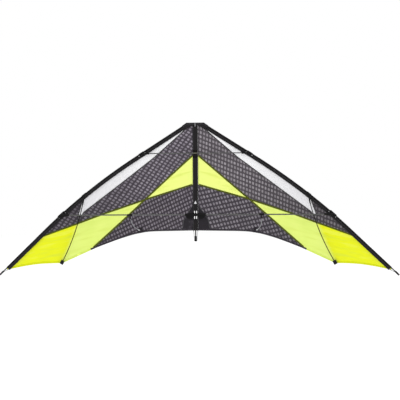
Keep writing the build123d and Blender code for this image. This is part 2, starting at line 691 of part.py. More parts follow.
def wing_outline(lift):
    """Flat outline of one wing's sail: leading edge fin, trailing edge and spine side."""
    fin_width = LE_FIN_REACH + FIN_GAP
    inner_in = Vector(le_down.Z, 0, -le_down.X)
    outer_in = Vector(le_out.Z, 0, -le_out.X).normalized()
    start = LE_NOSE + inner_in * fin_width
    corner = LE_CORNER + (inner_in + outer_in) * (fin_width / (1 + inner_in.dot(outer_in)))
    tip = TIP_FOLD + outer_in * fin_width
    spine_end = (SEAM_X, start.Z + (SEAM_X - start.X) * le_down.Z / le_down.X)
    with BuildSketch(Plane.XZ) as outline:
        with BuildLine():
            trailing_edge(lift)
            Line(lifted(TE_TIP, lift), (tip.X, tip.Z))
            FilletPolyline((tip.X, tip.Z), (corner.X, corner.Z), spine_end, radius=LE_PLAN_RADIUS - fin_width)
            Line(spine_end, lifted(TE_SPINE, lift))
        make_face()
    return outline


def seam_shape(*points):
    """Outline of a panel by its seams, running past the sail elsewhere."""
    with BuildSketch(Plane.XZ) as shape:
        with BuildLine():
            Polyline(*points, close=True)
        make_face()
    return shape


CUT_DEPTH = 400
sail = sail_layer(0, SAIL_THICKNESS)
whole_wing = wing_outline(0)
wing_above_hem = wing_outline(HEM_WIDTH)


def cut_layer(layer, outline, shape):
    """Part of a sail layer inside a wing outline and inside a seam outline."""
    with BuildPart() as piece:
        add(layer.part)
        extrude(outline.sketch, amount=CUT_DEPTH, both=True, mode=Mode.INTERSECT)
        extrude(shape.sketch, amount=CUT_DEPTH, both=True, mode=Mode.INTERSECT)
    return piece


# Corners well outside the sail, for the sides of a panel that the wing's own outline cuts
OVER_NOSE = (0, 450)
OVER_EDGE = (100, 500)
OVER_CORNER = (600, 200)
OVER_TIP = (1100, -131)
BEYOND_TIP = (1100, -500)
BELOW_TIP = (560, -500)
BELOW_BATTEN = (560, -400)
BELOW_SPINE = (0, -400)
BESIDE_EDGE = (820, 100)

panels = {
    "mesh_panel": seam_shape(
        MESH_NOSE, MESH_MIDDLE, MESH_CORNER, MESH_FOOT_INNER, MESH_FOOT_OUTER, MESH_TOP_OUTER,
        OVER_CORNER, OVER_EDGE,
    ),
    "upper_print_panel": seam_shape(
        MESH_NOSE, MESH_MIDDLE, MESH_CORNER, MESH_FOOT_INNER, MESH_FOOT_OUTER, SEAM_B_JOINT,
        SEAM_B_MIDDLE, SEAM_CROSSING, SEAM_A_SPINE, OVER_NOSE,
    ),
    "outer_print_panel": seam_shape(
        MESH_TOP_OUTER, MESH_FOOT_OUTER, SEAM_B_JOINT, SEAM_B_LEADING, BESIDE_EDGE, OVER_CORNER,
    ),
    "centre_neon_panel": seam_shape(SEAM_A_SPINE, SEAM_CROSSING, SEAM_B_SPINE),
    "lower_print_panel": seam_shape(
        SEAM_B_SPINE, SEAM_CROSSING, SEAM_A_TRAILING, BELOW_BATTEN, BELOW_SPINE,
    ),
    "tip_neon_panel": seam_shape(
        SEAM_CROSSING, SEAM_B_MIDDLE, SEAM_B_JOINT, SEAM_B_LEADING, OVER_TIP, BEYOND_TIP,
        BELOW_TIP, SEAM_A_TRAILING,
    ),
}
for panel_name, panel_shape in panels.items():
    write_pair(cut_layer(sail, wing_above_hem, panel_shape), panel_name)

# Folded hem along the trailing edge
hem_layer = sail_layer((SAIL_THICKNESS - HEM_THICKNESS) / 2, HEM_THICKNESS)
with BuildPart() as hem:
    add(hem_layer.part)
    extrude(whole_wing.sketch, amount=CUT_DEPTH, both=True, mode=Mode.INTERSECT)
    extrude(wing_above_hem.sketch, amount=CUT_DEPTH, both=True, mode=Mode.SUBTRACT)
write_pair(hem, "trailing_edge_hem")

# Cloth reinforcements sewn on the front of the sail
PATCH_GAP = 0.2
CORNER_PATCH_GAP = 0.7  # the corner patch also lies over the thicker hem
CENTRE_PATCH = ((0, 66), (45, 0), (62, -27), (70, -90), (0, -90))
CORNER_PATCH = ((257, -105), (280, -63), (294, -69), (300, -105))

with BuildPart() as centre_layer:
    add(sail.part.moved(Location((0, -SAIL_THICKNESS - PATCH_GAP, 0))))
write_pair(cut_layer(centre_layer, wing_above_hem, seam_shape(*CENTRE_PATCH)), "centre_reinforcement")

with BuildPart() as corner_layer:
    add(sail.part.moved(Location((0, -SAIL_THICKNESS - CORNER_PATCH_GAP, 0))))
write_pair(cut_layer(corner_layer, whole_wing, seam_shape(*CORNER_PATCH)), "standoff_patch")
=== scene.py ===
import bpy
from math import acos, ceil, cos, hypot, pi, radians, sin, sqrt, tan
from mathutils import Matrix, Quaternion, Vector, noise
from mathutils.geometry import delaunay_2d_cdt


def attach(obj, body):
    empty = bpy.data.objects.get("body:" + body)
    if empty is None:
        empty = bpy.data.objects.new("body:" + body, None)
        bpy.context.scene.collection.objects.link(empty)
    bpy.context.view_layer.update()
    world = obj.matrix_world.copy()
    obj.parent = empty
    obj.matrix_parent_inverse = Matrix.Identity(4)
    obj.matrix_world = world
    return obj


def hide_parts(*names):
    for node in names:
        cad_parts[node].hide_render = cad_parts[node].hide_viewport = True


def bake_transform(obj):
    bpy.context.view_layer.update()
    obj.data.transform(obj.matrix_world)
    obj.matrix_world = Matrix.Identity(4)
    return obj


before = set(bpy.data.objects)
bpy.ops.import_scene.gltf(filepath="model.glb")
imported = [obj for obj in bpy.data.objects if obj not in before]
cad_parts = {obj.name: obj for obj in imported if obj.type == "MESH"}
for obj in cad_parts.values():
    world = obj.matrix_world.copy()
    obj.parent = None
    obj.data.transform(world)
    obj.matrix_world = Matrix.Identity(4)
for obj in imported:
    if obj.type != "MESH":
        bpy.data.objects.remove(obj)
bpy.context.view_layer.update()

# Lengths below are in millimetres, in the model's own frame; meshes are made in metres.
MM = 0.001
SIDES = (("right", 1), ("left", -1))


# --- Camera and light ---
def link(obj):
    bpy.context.scene.collection.objects.link(obj)
    return obj


CAMERA_TURN = radians(4.6)
CAMERA_DISTANCE = 5.0
CAMERA_TARGET = Vector((0.0215, 0, 0.070))
CAMERA_LENS = 94.0
CAMERA_ROLL = radians(0.3)

view_line = Vector((-sin(CAMERA_TURN), cos(CAMERA_TURN), 0))
camera = link(bpy.data.objects.new("camera", bpy.data.cameras.new("camera")))
camera.data.lens = CAMERA_LENS
camera.location = CAMERA_TARGET - view_line * CAMERA_DISTANCE
level_view = view_line.to_track_quat("-Z", "Y")
camera.rotation_euler = (level_view @ Quaternion((0, 0, -1), CAMERA_ROLL)).to_euler()
bpy.context.scene.camera = camera
bpy.context.scene.view_settings.view_transform = "Standard"

world = bpy.data.worlds.new("studio")
world.use_nodes = True
world.node_tree.nodes["Background"].inputs["Color"].default_value = (1, 1, 1, 1)
bpy.context.scene.world = world


def area_light(name, place, aim, size, power):
    lamp = bpy.data.lights.new(name, "AREA")
    lamp.size = size
    lamp.energy = power
    obj = link(bpy.data.objects.new(name, lamp))
    obj.location = place
    obj.rotation_euler = (Vector(aim) - Vector(place)).to_track_quat("-Z", "Y").to_euler()


area_light("key_light", (-0.7, -3.6, 1.9), (-0.2, 0, 0), 0.7, 15)
area_light("back_light", (1.5, 3.5, 2.0), (0, 0, 0), 2.5, 10)


# --- Shader helpers ---
class Shade:
    """One procedural material, with short ways to add the nodes that it uses."""

    def __init__(self, name, roughness, specular=0.5, sheen=0.0, coat=0.0, metallic=0.0):
        self.material = bpy.data.materials.new(name)
        self.material.use_nodes = True
        self.tree = self.material.node_tree
        self.shader = self.tree.nodes["Principled BSDF"]
        looks = {"Roughness": roughness, "Specular IOR Level": specular, "Metallic": metallic,
                 "Sheen Weight": sheen, "Sheen Roughness": 0.4, "Coat Weight": coat, "Coat Roughness": 0.12}
        for socket, value in looks.items():
            self.put(socket, value)

    def put(self, socket, value):
        """Set an input of the shader, or link a node's output to it."""
        self.fill(self.shader.inputs[socket], value)

    def fill(self, target, value):
        if isinstance(value, bpy.types.NodeSocket):
            self.tree.links.new(value, target)
        elif value is not None:
            target.default_value = value

    def node(self, kind, *values, **settings):
        made = self.tree.nodes.new("ShaderNode" + kind)
        for key, value in settings.items():
            setattr(made, key, value)
        for index, value in enumerate(values):
            self.fill(made.inputs[index], value)
        return made

    def calc(self, operation, a, b=None, c=None):
        return self.node("Math", a, b, c, operation=operation).outputs[0]

    def plus(self, a, b):
        return self.calc("ADD", a, b)

    def minus(self, a, b):
        return self.calc("SUBTRACT", a, b)

    def times(self, a, b):
        return self.calc("MULTIPLY", a, b)

    def sine(self, value):
        return self.calc("SINE", value)

    def size_of(self, value):
        return self.calc("ABSOLUTE", value)

    def linear(self, value, scale, offset):
        return self.calc("MULTIPLY_ADD", value, scale, offset)

    def along(self, point, direction):
        return self.node("VectorMath", point, direction, operation="DOT_PRODUCT").outputs["Value"]

    def joined(self, x, y, z=0.0):
        return self.node("CombineXYZ", x, y, z).outputs[0]

    def parts(self, point):
        return self.node("SeparateXYZ", point).outputs

    def step(self, value, low, high):
        """0 below low, 1 above high, and a smooth rise between them."""
        made = self.node("MapRange", value, low, high, 0.0, 1.0, interpolation_type="SMOOTHSTEP")
        return made.outputs[0]

    def mix(self, share, a, b):
        """Blend of two colours, each a node's output or an 8-bit screen colour."""
        made = self.node("Mix", data_type="RGBA")
        self.fill(made.inputs["Factor"], share)
        for index, colour in ((6, a), (7, b)):
            self.fill(made.inputs[index], srgb(*colour) if isinstance(colour, tuple) else colour)
        return made.outputs[2]

    def place(self):
        """Point on the piece, in metres, in the frame's own axes."""
        return self.node("TexCoord").outputs["Object"]

    def uv(self):
        """Point on the cloth, in metres, in the map that the mesh was given."""
        return self.node("TexCoord").outputs["UV"]

    def named(self, kind, **inputs):
        """First output of a node whose inputs are set by name."""
        made = self.node(kind)
        for key, value in inputs.items():
            self.fill(made.inputs[key], value)
        return made.outputs[0]

    def mottle(self, point, scale, detail=3.0):
        return self.named("TexNoise", Vector=point, Scale=scale, Detail=detail)

    def bump(self, height, depth, strength, onto=None):
        return self.named("Bump", Strength=strength, Distance=depth, Height=height, Normal=onto)

    def finished(self, colour, normal, roughness=None):
        """The material, once its colour, normal and roughness are set."""
        self.put("Base Color", colour)
        self.put("Normal", normal)
        self.put("Roughness", roughness)
        return self.material


def srgb(red, green, blue):
    """Linear colour of an 8-bit screen colour."""
    linear = []
    for value in (red / 255, green / 255, blue / 255):
        linear.append(value / 12.92 if value <= 0.04045 else ((value + 0.055) / 1.055) ** 2.4)
    return (*linear, 1)


def toned(colour, scale, shift):
    """Screen colour made brighter or darker."""
    return tuple(value * scale + shift for value in colour)


def ridges(shade, value, pitch):
    """Rounded ridges of height 0 to 1, one each pitch."""
    return shade.linear(shade.sine(shade.times(value, 2 * pi / pitch)), 0.5, 0.5)


def weave(shade, u, v, pitch):
    """Height of a plain weave, its threads a pitch apart."""
    warp, weft = ridges(shade, u, pitch), ridges(shade, v, pitch)
    checks = shade.times(*[shade.sine(shade.times(value, pi / pitch)) for value in (u, v)])
    over = shade.step(checks, -0.2, 0.2)
    return shade.plus(shade.times(warp, over), shade.times(weft, shade.minus(1.0, over)))


def ripstop(shade, u, v, pitch=0.005):
    """Thicker threads of ripstop nylon, in squares."""
    lines = []
    for value in (u, v):
        turn = shade.size_of(shade.sine(shade.times(value, pi / pitch)))
        lines.append(shade.step(turn, 0.22, 0.05))
    return shade.calc("MAXIMUM", *lines)


def puckers(shade):
    """Slow waves of cloth that hangs from its seams."""
    return shade.mottle(shade.place(), 14.0, 2.0)


def cloth_relief(shade, u, v, grid):
    """Normal of ripstop cloth: slow waves, thick threads and a fine weave."""
    slow = shade.bump(puckers(shade), 0.006, 0.35)
    fine = shade.bump(weave(shade, u, v, 0.0007), 0.00012, 0.35, onto=slow)
    return shade.bump(grid, 0.00025, 0.6, onto=fine)


def print_cloth(name, row, column, ground, ink):
    """Dark ripstop printed with small pale marks; row and column are the steps between marks."""
    shade = Shade(name, 0.6, specular=0.15, sheen=0.05)
    point = shade.uv()
    u, v, _ = shade.parts(point)
    size = row[0] * column[1] - row[1] * column[0]
    across = (column[1] / size / MM, -column[0] / size / MM, 0)
    down = (-row[1] / size / MM, row[0] / size / MM, 0)
    i, j = shade.along(point, across), shade.along(point, down)
    whole_i, whole_j = shade.calc("FLOOR", i), shade.calc("FLOOR", j)
    cell = shade.joined(whole_i, whole_j)
    chance = shade.node("TexWhiteNoise", cell, noise_dimensions="2D").outputs["Value"]
    x = shade.plus(shade.calc("FRACT", i), shade.linear(chance, 0.16, -0.58))
    y = shade.minus(shade.calc("FRACT", j), 0.5)
    # Marks are narrow and wide by turns; the large even number keeps the count positive.
    count = shade.plus(whole_i, shade.plus(whole_j, 4000.0))
    turned = shade.calc("GREATER_THAN", shade.calc("MODULO", count, 2.0), 0.5)
    x = shade.calc("POWER", shade.size_of(shade.times(x, shade.linear(turned, -0.5, 3.2))), 2.6)
    y = shade.calc("POWER", shade.size_of(shade.times(y, shade.linear(turned, 0.5, 2.7))), 2.6)
    mark = shade.times(shade.step(shade.plus(x, y), 1.25, 0.35), shade.linear(chance, 0.45, 0.6))
    tint = shade.mix(shade.mottle(point, 22.0), toned(ground, 1, -6), toned(ground, 1, 7))
    colour = shade.mix(mark, tint, ink)
    grid = ripstop(shade, u, v)
    colour = shade.mix(shade.times(grid, 0.1), colour, (110, 106, 113))
    # Painted shade: the print is darkened away from the spine.
    colour = shade.mix(shade.times(shade.step(u, 0.15, 0.6), 0.42), colour, (38, 35, 38))
    return shade.finished(colour, cloth_relief(shade, u, v, grid), shade.linear(mark, -0.08, 0.56))


FOLD_LIGHT_ACROSS = (0.22, 0.97, 0)
FOLD_LIGHT_ALONG = (0.117, -0.026, 0)  # painted fold light runs in streaks about eight times as long as they are wide


def neon_cloth(name):
    """Thin neon yellow ripstop, deeper beyond the batten; inside it, painted light shining through makes it
    paler, most towards the spine.
    """
    shade = Shade(name, 0.5, specular=0.2, sheen=0.05)
    point = shade.uv()
    u, v, _ = shade.parts(point)
    line = shade.plus(shade.linear(v, -0.317, 0.561), shade.times(shade.times(v, v), 0.564))
    beyond = shade.step(shade.minus(u, line), -0.008, 0.024)
    # Painted light: inside the batten the cloth is painted paler, as if lit through from behind, and palest
    # towards the spine.
    inner = shade.mix(shade.step(u, 0.2, 0.45), (242, 250, 138), (212, 233, 110))
    inner = shade.mix(shade.mottle(point, 9.0), inner, (230, 245, 132))
    outer = shade.mix(shade.mottle(point, 7.0), (224, 232, 4), (233, 238, 20))
    colour = shade.mix(beyond, inner, outer)
    stretched = shade.joined(shade.along(point, FOLD_LIGHT_ACROSS), shade.along(point, FOLD_LIGHT_ALONG))
    fold_light = shade.mottle(stretched, 42.0, 2.0)
    # Painted shade in the hollows of folds and painted highlight on their crests; the folds have no bump.
    fold_shade, fold_highlight = shade.step(fold_light, 0.5, 0.7), shade.step(fold_light, 0.48, 0.32)
    colour = shade.mix(shade.times(fold_shade, 0.4), colour, (200, 218, 70))
    colour = shade.mix(shade.times(fold_highlight, 0.14), colour, (244, 252, 150))
    grid = ripstop(shade, u, v)
    colour = shade.mix(shade.times(grid, 0.25), colour, (205, 222, 60))
    return shade.finished(colour, cloth_relief(shade, u, v, grid), shade.linear(grid, 0.12, 0.4))


def mesh_cloth():
    """Fine open mesh: pale threads round small holes, with painted shade in the holes and over the threads
    away from the spine.
    """
    shade = Shade("mesh_cloth", 0.6, specular=0.3, sheen=0.1)
    point = shade.uv()
    u, v, _ = shade.parts(point)
    pitch = 0.0016
    shifted = shade.linear(u, 0.5, shade.times(v, 0.866))
    holes = shade.times(ridges(shade, u, pitch), ridges(shade, shifted, pitch))
    hole = shade.step(holes, 0.42, 0.75)
    thread = shade.mix(shade.mottle(point, 12.0), (252, 252, 253), (246, 246, 248))
    # Painted shade: the threads are darker away from the spine.
    far = shade.mix(shade.step(u, 0.1, 0.5), thread, (229, 228, 231))
    slow = shade.bump(puckers(shade), 0.005, 0.3)
    # Painted shade in the holes.
    colour = shade.mix(hole, far, (226, 226, 230))
    return shade.finished(colour, shade.bump(hole, -0.0003, 0.8, onto=slow))


def woven_tape(name, dark, pale, pitch=0.0011, stitches=(), thread=(90, 90, 94), roughness=0.75, highlight_row=None):
    """Close woven webbing with rows of stitches and a painted highlight line, at places across it, in metres.
    """
    shade = Shade(name, roughness, specular=0.12, sheen=0.12)
    point = shade.uv()
    u, v, _ = shade.parts(point)
    height = weave(shade, u, v, pitch)
    fuzz = shade.mottle(shade.place(), 900.0, 2.0)
    worn = shade.mottle(shade.place(), 25.0, 4.0)
    colour = shade.mix(shade.times(height, fuzz), dark, pale)
    colour = shade.mix(shade.step(worn, 0.62, 0.8), colour, toned(pale, 1.25, 6))
    # Painted highlight: a pale line across the tape; on the keeper it runs along the crest over the spreader.
    if highlight_row is not None:
        from_highlight_row = shade.size_of(shade.minus(v, highlight_row))
        colour = shade.mix(shade.step(from_highlight_row, 0.0028, 0.001), colour, (112, 110, 96))
    normal = shade.bump(height, 0.0003, 0.7, onto=shade.bump(worn, 0.002, 0.3))
    for row in stitches:
        inside = shade.step(shade.size_of(shade.minus(v, row)), 0.0007, 0.0003)
        dash = shade.step(ridges(shade, u, 0.0036), 0.3, 0.5)
        stitch = shade.times(inside, dash)
        colour = shade.mix(stitch, colour, thread)
        normal = shade.bump(stitch, 0.0005, 0.8, onto=normal)
    return shade.finished(colour, normal, shade.linear(height, -0.1, roughness))


def rod_finish(name, deep, light, direction, roughness, coat=0.0, specular=0.3, metallic=0.0):
    """Ground tube or rod: fine grain along its length, faint bands round it, small scuffs."""
    shade = Shade(name, roughness, specular=specular, coat=coat, metallic=metallic)
    point = shade.place()
    length = shade.along(point, direction)
    slide = shade.node("VectorMath", direction, operation="SCALE")
    shade.fill(slide.inputs["Scale"], shade.times(length, -0.97))
    squeezed = shade.node("VectorMath", point, slide.outputs[0], operation="ADD").outputs[0]
    grain = shade.mottle(squeezed, 1500.0, 3.0)
    bands = shade.mottle(shade.joined(length, 0.0), 260.0, 2.0)
    scuff = shade.step(shade.mottle(point, 130.0, 5.0), 0.63, 0.72)
    colour = shade.mix(shade.times(grain, bands), deep, light)
    colour = shade.mix(shade.times(scuff, 0.5), colour, toned(light, 1.2, 8))
    return shade.finished(colour, shade.bump(grain, 0.00006, 0.5), shade.linear(grain, 0.2, roughness - 0.08))


def moulded(name, deep, light, roughness, grain_scale=1400.0, specular=0.4):
    """Moulded rubber or plastic: fine skin, cloudy colour and rubbed spots."""
    shade = Shade(name, roughness, specular=specular)
    point = shade.place()
    skin = shade.mottle(point, grain_scale, 4.0)
    cloud = shade.mottle(point, 60.0, 3.0)
    rubbed = shade.step(shade.mottle(point, 210.0, 5.0), 0.6, 0.74)
    colour = shade.mix(cloud, deep, light)
    colour = shade.mix(shade.times(rubbed, 0.55), colour, toned(light, 1.3, 6))
    normal = shade.bump(skin, 0.00008, 0.5, onto=shade.bump(cloud, 0.0012, 0.15))
    return shade.finished(colour, normal, shade.linear(cloud, 0.2, roughness - 0.1))


def braided_cord(name, dark, pale):
    """Elastic cord in a braided cover."""
    shade = Shade(name, 0.6, specular=0.3, sheen=0.3)
    x, y, z = shade.parts(shade.place())
    across = shade.plus(x, y)
    first = ridges(shade, shade.plus(z, across), 0.0012)
    second = ridges(shade, shade.minus(z, across), 0.0012)
    plait = shade.calc("MAXIMUM", first, second)
    return shade.finished(shade.mix(plait, dark, pale), shade.bump(plait, 0.0003, 0.8))


# Cloth and tape, with screen colours; a print also has its steps along a row and from row to row
upper_print = {
    "left": print_cloth("print_cloth_upper_left", (17.6, 9.5), (9.5, -12.4), (68, 62, 70), (146, 139, 149)),
    "right": print_cloth("print_cloth_upper_right", (15.0, -6.0), (-1.0, -20.3), (76, 71, 76),
                         (152, 146, 152)),
}
lower_print = {
    "left": print_cloth("print_cloth_lower_left", (13.6, -6.2), (5.7, 18.1), (56, 50, 58), (132, 125, 134)),
    "right": print_cloth("print_cloth_lower_right", (14.8, 3.2), (7.2, -20.0), (60, 55, 62), (136, 130, 138)),
}
neon = neon_cloth("neon_cloth")
mesh_vent = mesh_cloth()
sleeve_cloth = woven_tape("sleeve_webbing", (15, 13, 14), (36, 34, 36), stitches=(0.0025, 0.0095))
spine_cloth = woven_tape("spine_webbing", (22, 20, 21), (46, 44, 46), stitches=(-0.0105, 0.0105))
nose_cloth = woven_tape("nose_webbing", (20, 18, 20), (50, 48, 50), pitch=0.0016, stitches=(0.003, 0.009))
hem_cloth = woven_tape("hem_cloth", (40, 36, 42), (66, 62, 70), pitch=0.0007, stitches=(0.0,))
neon_weave = {"pitch": 0.0007, "stitches": (0.0,), "roughness": 0.5}
# Painted light: the middle hem's neon is paler, as if lit through like the cloth inside the batten; the outer
# hem has the deep yellow.
backlit_neon_hem = woven_tape("backlit_neon_hem", (212, 233, 96), (226, 243, 124), thread=(196, 214, 84),
                            **neon_weave)
outer_neon_hem = woven_tape("outer_neon_hem", (214, 222, 6), (228, 234, 20), thread=(188, 196, 12),
                            **neon_weave)
dark_seam = woven_tape("dark_seam", (44, 42, 40), (66, 64, 64), pitch=0.0007, stitches=(-0.0014, 0.0014))
olive_seam = woven_tape("olive_seam", (50, 56, 6), (92, 100, 14), pitch=0.0007, stitches=(-0.0016, 0.0016),
                        thread=(130, 140, 40))
patch_cloth = woven_tape("patch_cloth", (34, 31, 36), (58, 54, 61), pitch=0.0009)
# The keeper's pale line is a painted highlight along its crest over the spreader.
keeper_cloth = woven_tape("keeper_webbing", (8, 5, 5), (26, 21, 20), pitch=0.0016, stitches=(-0.006, -0.012),
                          thread=(46, 43, 38), highlight_row=0.00206)
pale_tape = woven_tape("pale_tape", (120, 120, 122), (176, 176, 178), pitch=0.0009)
white_tape = woven_tape("white_tab", (205, 205, 207), (244, 244, 245), pitch=0.0008)
thread_line = woven_tape("thread_line", (70, 70, 72), (130, 130, 134), pitch=0.0006)
knot_cover = braided_cord("tension_knot", (150, 150, 152), (214, 214, 216))
tip_cord_cover = braided_cord("tip_tension_cord", (34, 34, 35), (78, 78, 80))
tail_cord_cover = braided_cord("tail_tension_cord", (84, 84, 86), (132, 132, 135))

X_AXIS, Z_AXIS, EDGE_AXIS = (1, 0, 0), (0, 0, 1), (0.8, 0, -0.6)
STANDOFF_AXIS = (0, 0.8, -0.6)
rod_black_x = rod_finish("carbon_rod_cross", (14, 14, 15), (44, 44, 46), X_AXIS, 0.24, coat=0.5, specular=0.8)
rod_black_z = rod_finish("carbon_rod_spine", (16, 16, 17), (40, 40, 42), Z_AXIS, 0.34)
rod_black_edge = rod_finish("carbon_rod_edge", (10, 10, 11), (30, 30, 31), EDGE_AXIS, 0.4, specular=0.15)
# Painted highlight: the standoff rod is light grey to stand for the shine along a black rod.
standoff_highlight_grey = rod_finish("fibreglass_rod", (120, 121, 124), (176, 177, 180), STANDOFF_AXIS, 0.3, coat=0.3)
batten_black = rod_finish("batten_rod", (12, 13, 3), (30, 32, 9), Z_AXIS, 0.6, specular=0.1)
rubber = moulded("moulded_rubber", (7, 6, 7), (18, 17, 18), 0.55, specular=0.12)
plastic = moulded("black_plastic", (9, 9, 10), (22, 22, 23), 0.45, 2200.0, specular=0.15)
pale_plastic = moulded("pale_plastic", (176, 176, 178), (214, 214, 216), 0.4, 2200.0)
ferrule_metal = rod_finish("ferrule_metal", (120, 120, 124), (168, 168, 172), EDGE_AXIS, 0.35, metallic=1.0)

NODE_FINISH = (
    (rod_black_x, "upper_spreader", "lower_spreader"),
    (rod_black_z, "spine_rod"),
    (rod_black_edge, "upper_leading_edge_rod", "lower_leading_edge_rod"),
    (standoff_highlight_grey, "inner_standoff"),
    (batten_black, "outer_batten"),
    (ferrule_metal, "leading_edge_ferrule"),
    (rubber, "centre_tee", "upper_connector", "lower_connector", "standoff_clip"),
    (plastic, "tail_cap", "batten_connector", "connector_stops", "batten_block", "tip_cap"),
    (pale_plastic, "standoff_end"),
)
for node_name, node_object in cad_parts.items():
    plain_name = node_name.removeprefix("right_").removeprefix("left_")
    for material, *names in NODE_FINISH:
        if plain_name not in names:
            continue
        if not node_object.material_slots:
            node_object.data.materials.append(None)
        for material_slot in node_object.material_slots:
            material_slot.link = "OBJECT"
            material_slot.material = material


# --- Mesh helpers ---
def mesh_piece(name, points, faces, material, uvs, thickness=0.0, mirrored=False):
    """Mesh object from points and their places in the map, both in millimetres."""
    flip = -1 if mirrored else 1
    mesh = bpy.data.meshes.new(name)
    mesh.from_pydata([(flip * x * MM, y * MM, z * MM) for x, y, z in points], [],
                     [face[::flip] for face in faces])
    mesh.materials.append(material)
    layer = mesh.uv_layers.new(name="cloth")
    for loop in mesh.loops:
        u, v = uvs[loop.vertex_index]
        layer.data[loop.index].uv = (u * MM, v * MM)
    mesh.shade_smooth()
    mesh.validate()
    mesh.update()
    obj = link(bpy.data.objects.new(name, mesh))
    if thickness:
        solid = obj.modifiers.new("cloth_thickness", "SOLIDIFY")
        solid.thickness = thickness * MM
        solid.offset = 0.0
        bpy.context.view_layer.objects.active = obj
        obj.select_set(True)
        bpy.ops.object.modifier_apply(modifier=solid.name)
        obj.select_set(False)
    return obj


def grid_faces(rows, columns, closed=False, keep=None):
    """Quads of a grid of points, row after row; closed joins the last column to the first."""
    faces = []
    for row in range(rows - 1):
        for column in range(columns if closed else columns - 1):
            following = (column + 1) % columns
            if keep is None or keep(row, column):
                start = row * columns
                faces.append((start + column, start + following,
                              start + columns + following, start + columns + column))
    return faces


def grid_piece(name, rows, columns, spot, material, closed=False, keep=None, **options):
    """Mesh of a grid of points; spot(row, column) gives a point and its place in the map."""
    spots = [spot(row, column) for row in rows for column in columns]
    points, uvs = [point for point, _ in spots], [uv for _, uv in spots]
    faces = grid_faces(len(rows), len(columns), closed, keep)
    return mesh_piece(name, points, faces, material, uvs, **options)


PLAN_PITCH = 8  # distance between points along the edges of the cloth


def sampled(corners, pitch=PLAN_PITCH):
    """Points no more than a pitch apart along a run of straight lines, corners included."""
    points = [corners[0]]
    for a, b in zip(corners, corners[1:]):
        count = max(1, ceil((Vector(b) - Vector(a)).length / pitch))
        points += [tuple(Vector(a).lerp(Vector(b), step / count)) for step in range(1, count + 1)]
    return points


def reaches_along(points):
    """Distance from the first point of a run to each of its points, in its first two directions."""
    reaches = [0.0]
    for a, b in zip(points, points[1:]):
        reaches.append(reaches[-1] + hypot(b[0] - a[0], b[1] - a[1]))
    return reaches


def limited(value, low=0.0, high=1.0):
    return max(low, min(high, value))


def spline_through(xs, ys):
    """Natural cubic spline through the given values."""
    count = len(xs)
    gaps = [b - a for a, b in zip(xs, xs[1:])]
    slopes = [(b - a) / gap for a, b, gap in zip(ys, ys[1:], gaps)]
    weight = [0.0] * count
    value = [0.0] * count
    for i in range(1, count - 1):
        scale = 2 * (gaps[i - 1] + gaps[i]) - gaps[i - 1] * weight[i - 1]
        weight[i] = gaps[i] / scale
        value[i] = (6 * (slopes[i] - slopes[i - 1]) - gaps[i - 1] * value[i - 1]) / scale
    bends = [0.0] * count
    for i in range(count - 2, 0, -1):
        bends[i] = value[i] - weight[i] * bends[i + 1]

    def at(x):
        i = max(0, min(count - 2, sum(1 for other in xs[1:-1] if other <= x)))
        gap = gaps[i]
        left, right = x - xs[i], xs[i + 1] - x
        return ((bends[i] * right ** 3 + bends[i + 1] * left ** 3) / (6 * gap)
                + (ys[i] / gap - bends[i] * gap / 6) * right
                + (ys[i + 1] / gap - bends[i + 1] * gap / 6) * left)

    return at


# --- Leading edge line ---
EDGE_NOSE = Vector((36, 0, 437))
EDGE_CORNER = Vector((530, 0, 122))
EDGE_TIP = Vector((962, 30, -288))
EDGE_BEND = 2850
edge_down = (EDGE_CORNER - EDGE_NOSE).normalized()
edge_out = (EDGE_TIP - EDGE_CORNER).normalized()
bend_angle = acos(edge_down.dot(edge_out))
bend_in = EDGE_BEND * tan(bend_angle / 2)
bend_start = (EDGE_CORNER - EDGE_NOSE).length - bend_in
bend_side = (edge_out - edge_down * edge_down.dot(edge_out)).normalized()
edge_length = bend_start + EDGE_BEND * bend_angle + (EDGE_TIP - EDGE_CORNER).length - bend_in


def edge_place(reach):
    """Centre and direction of the leading edge rod at a distance from the nose end."""
    if reach <= bend_start:
        return EDGE_NOSE + edge_down * reach, edge_down
    if reach <= bend_start + EDGE_BEND * bend_angle:
        turn = (reach - bend_start) / EDGE_BEND
        start = EDGE_NOSE + edge_down * bend_start
        centre = start + edge_down * (EDGE_BEND * sin(turn)) + bend_side * (EDGE_BEND * (1 - cos(turn)))
        return centre, edge_down * cos(turn) + bend_side * sin(turn)
    return EDGE_TIP - edge_out * (edge_length - reach), edge_out


def edge_axes(reach):
    """Centre, outward direction and direction to the flyer, across the leading edge."""
    centre, forward = edge_place(reach)
    outward = forward.cross(Vector((0, 1, 0))).normalized()
    return centre, outward, forward.cross(outward)


# --- Sail surface ---
STATIONS = (  # x, height of the leading edge, sail depth there, sail depth at the trailing edge
    (0, 460, 1, -6), (50, 428, 1, 21), (100, 396, 1, 47), (150, 364, 1, 75), (220, 320, 1, 117),
    (290, 275, 1, 149), (350, 236, 1, 156), (410, 194, 2, 150), (470, 150, 3, 136), (530, 104, 5, 120),
    (590, 56, 7, 103), (650, 4, 10, 88), (720, -60, 14, 73), (790, -125, 19, 60), (865, -196, 24, 49),
    (940, -267, 29, 40),
)
LEAST_CHORD = 20
OVER_EDGE = 6  # how far the surface goes on past the leading edge
BELOW_HEM = 30  # how far it goes on past the trailing edge
SAIL_INNER = 12.4
TRAIL_SPINE = (SAIL_INNER, -76)
TRAIL_LINE = (170, -81)
TRAIL_BATTEN = (667, -237)
TRAIL_TIP = (929, -266)
FOOT_RUN = (TRAIL_LINE, TRAIL_BATTEN, (767, -251))  # about the trailing edge, for the sections


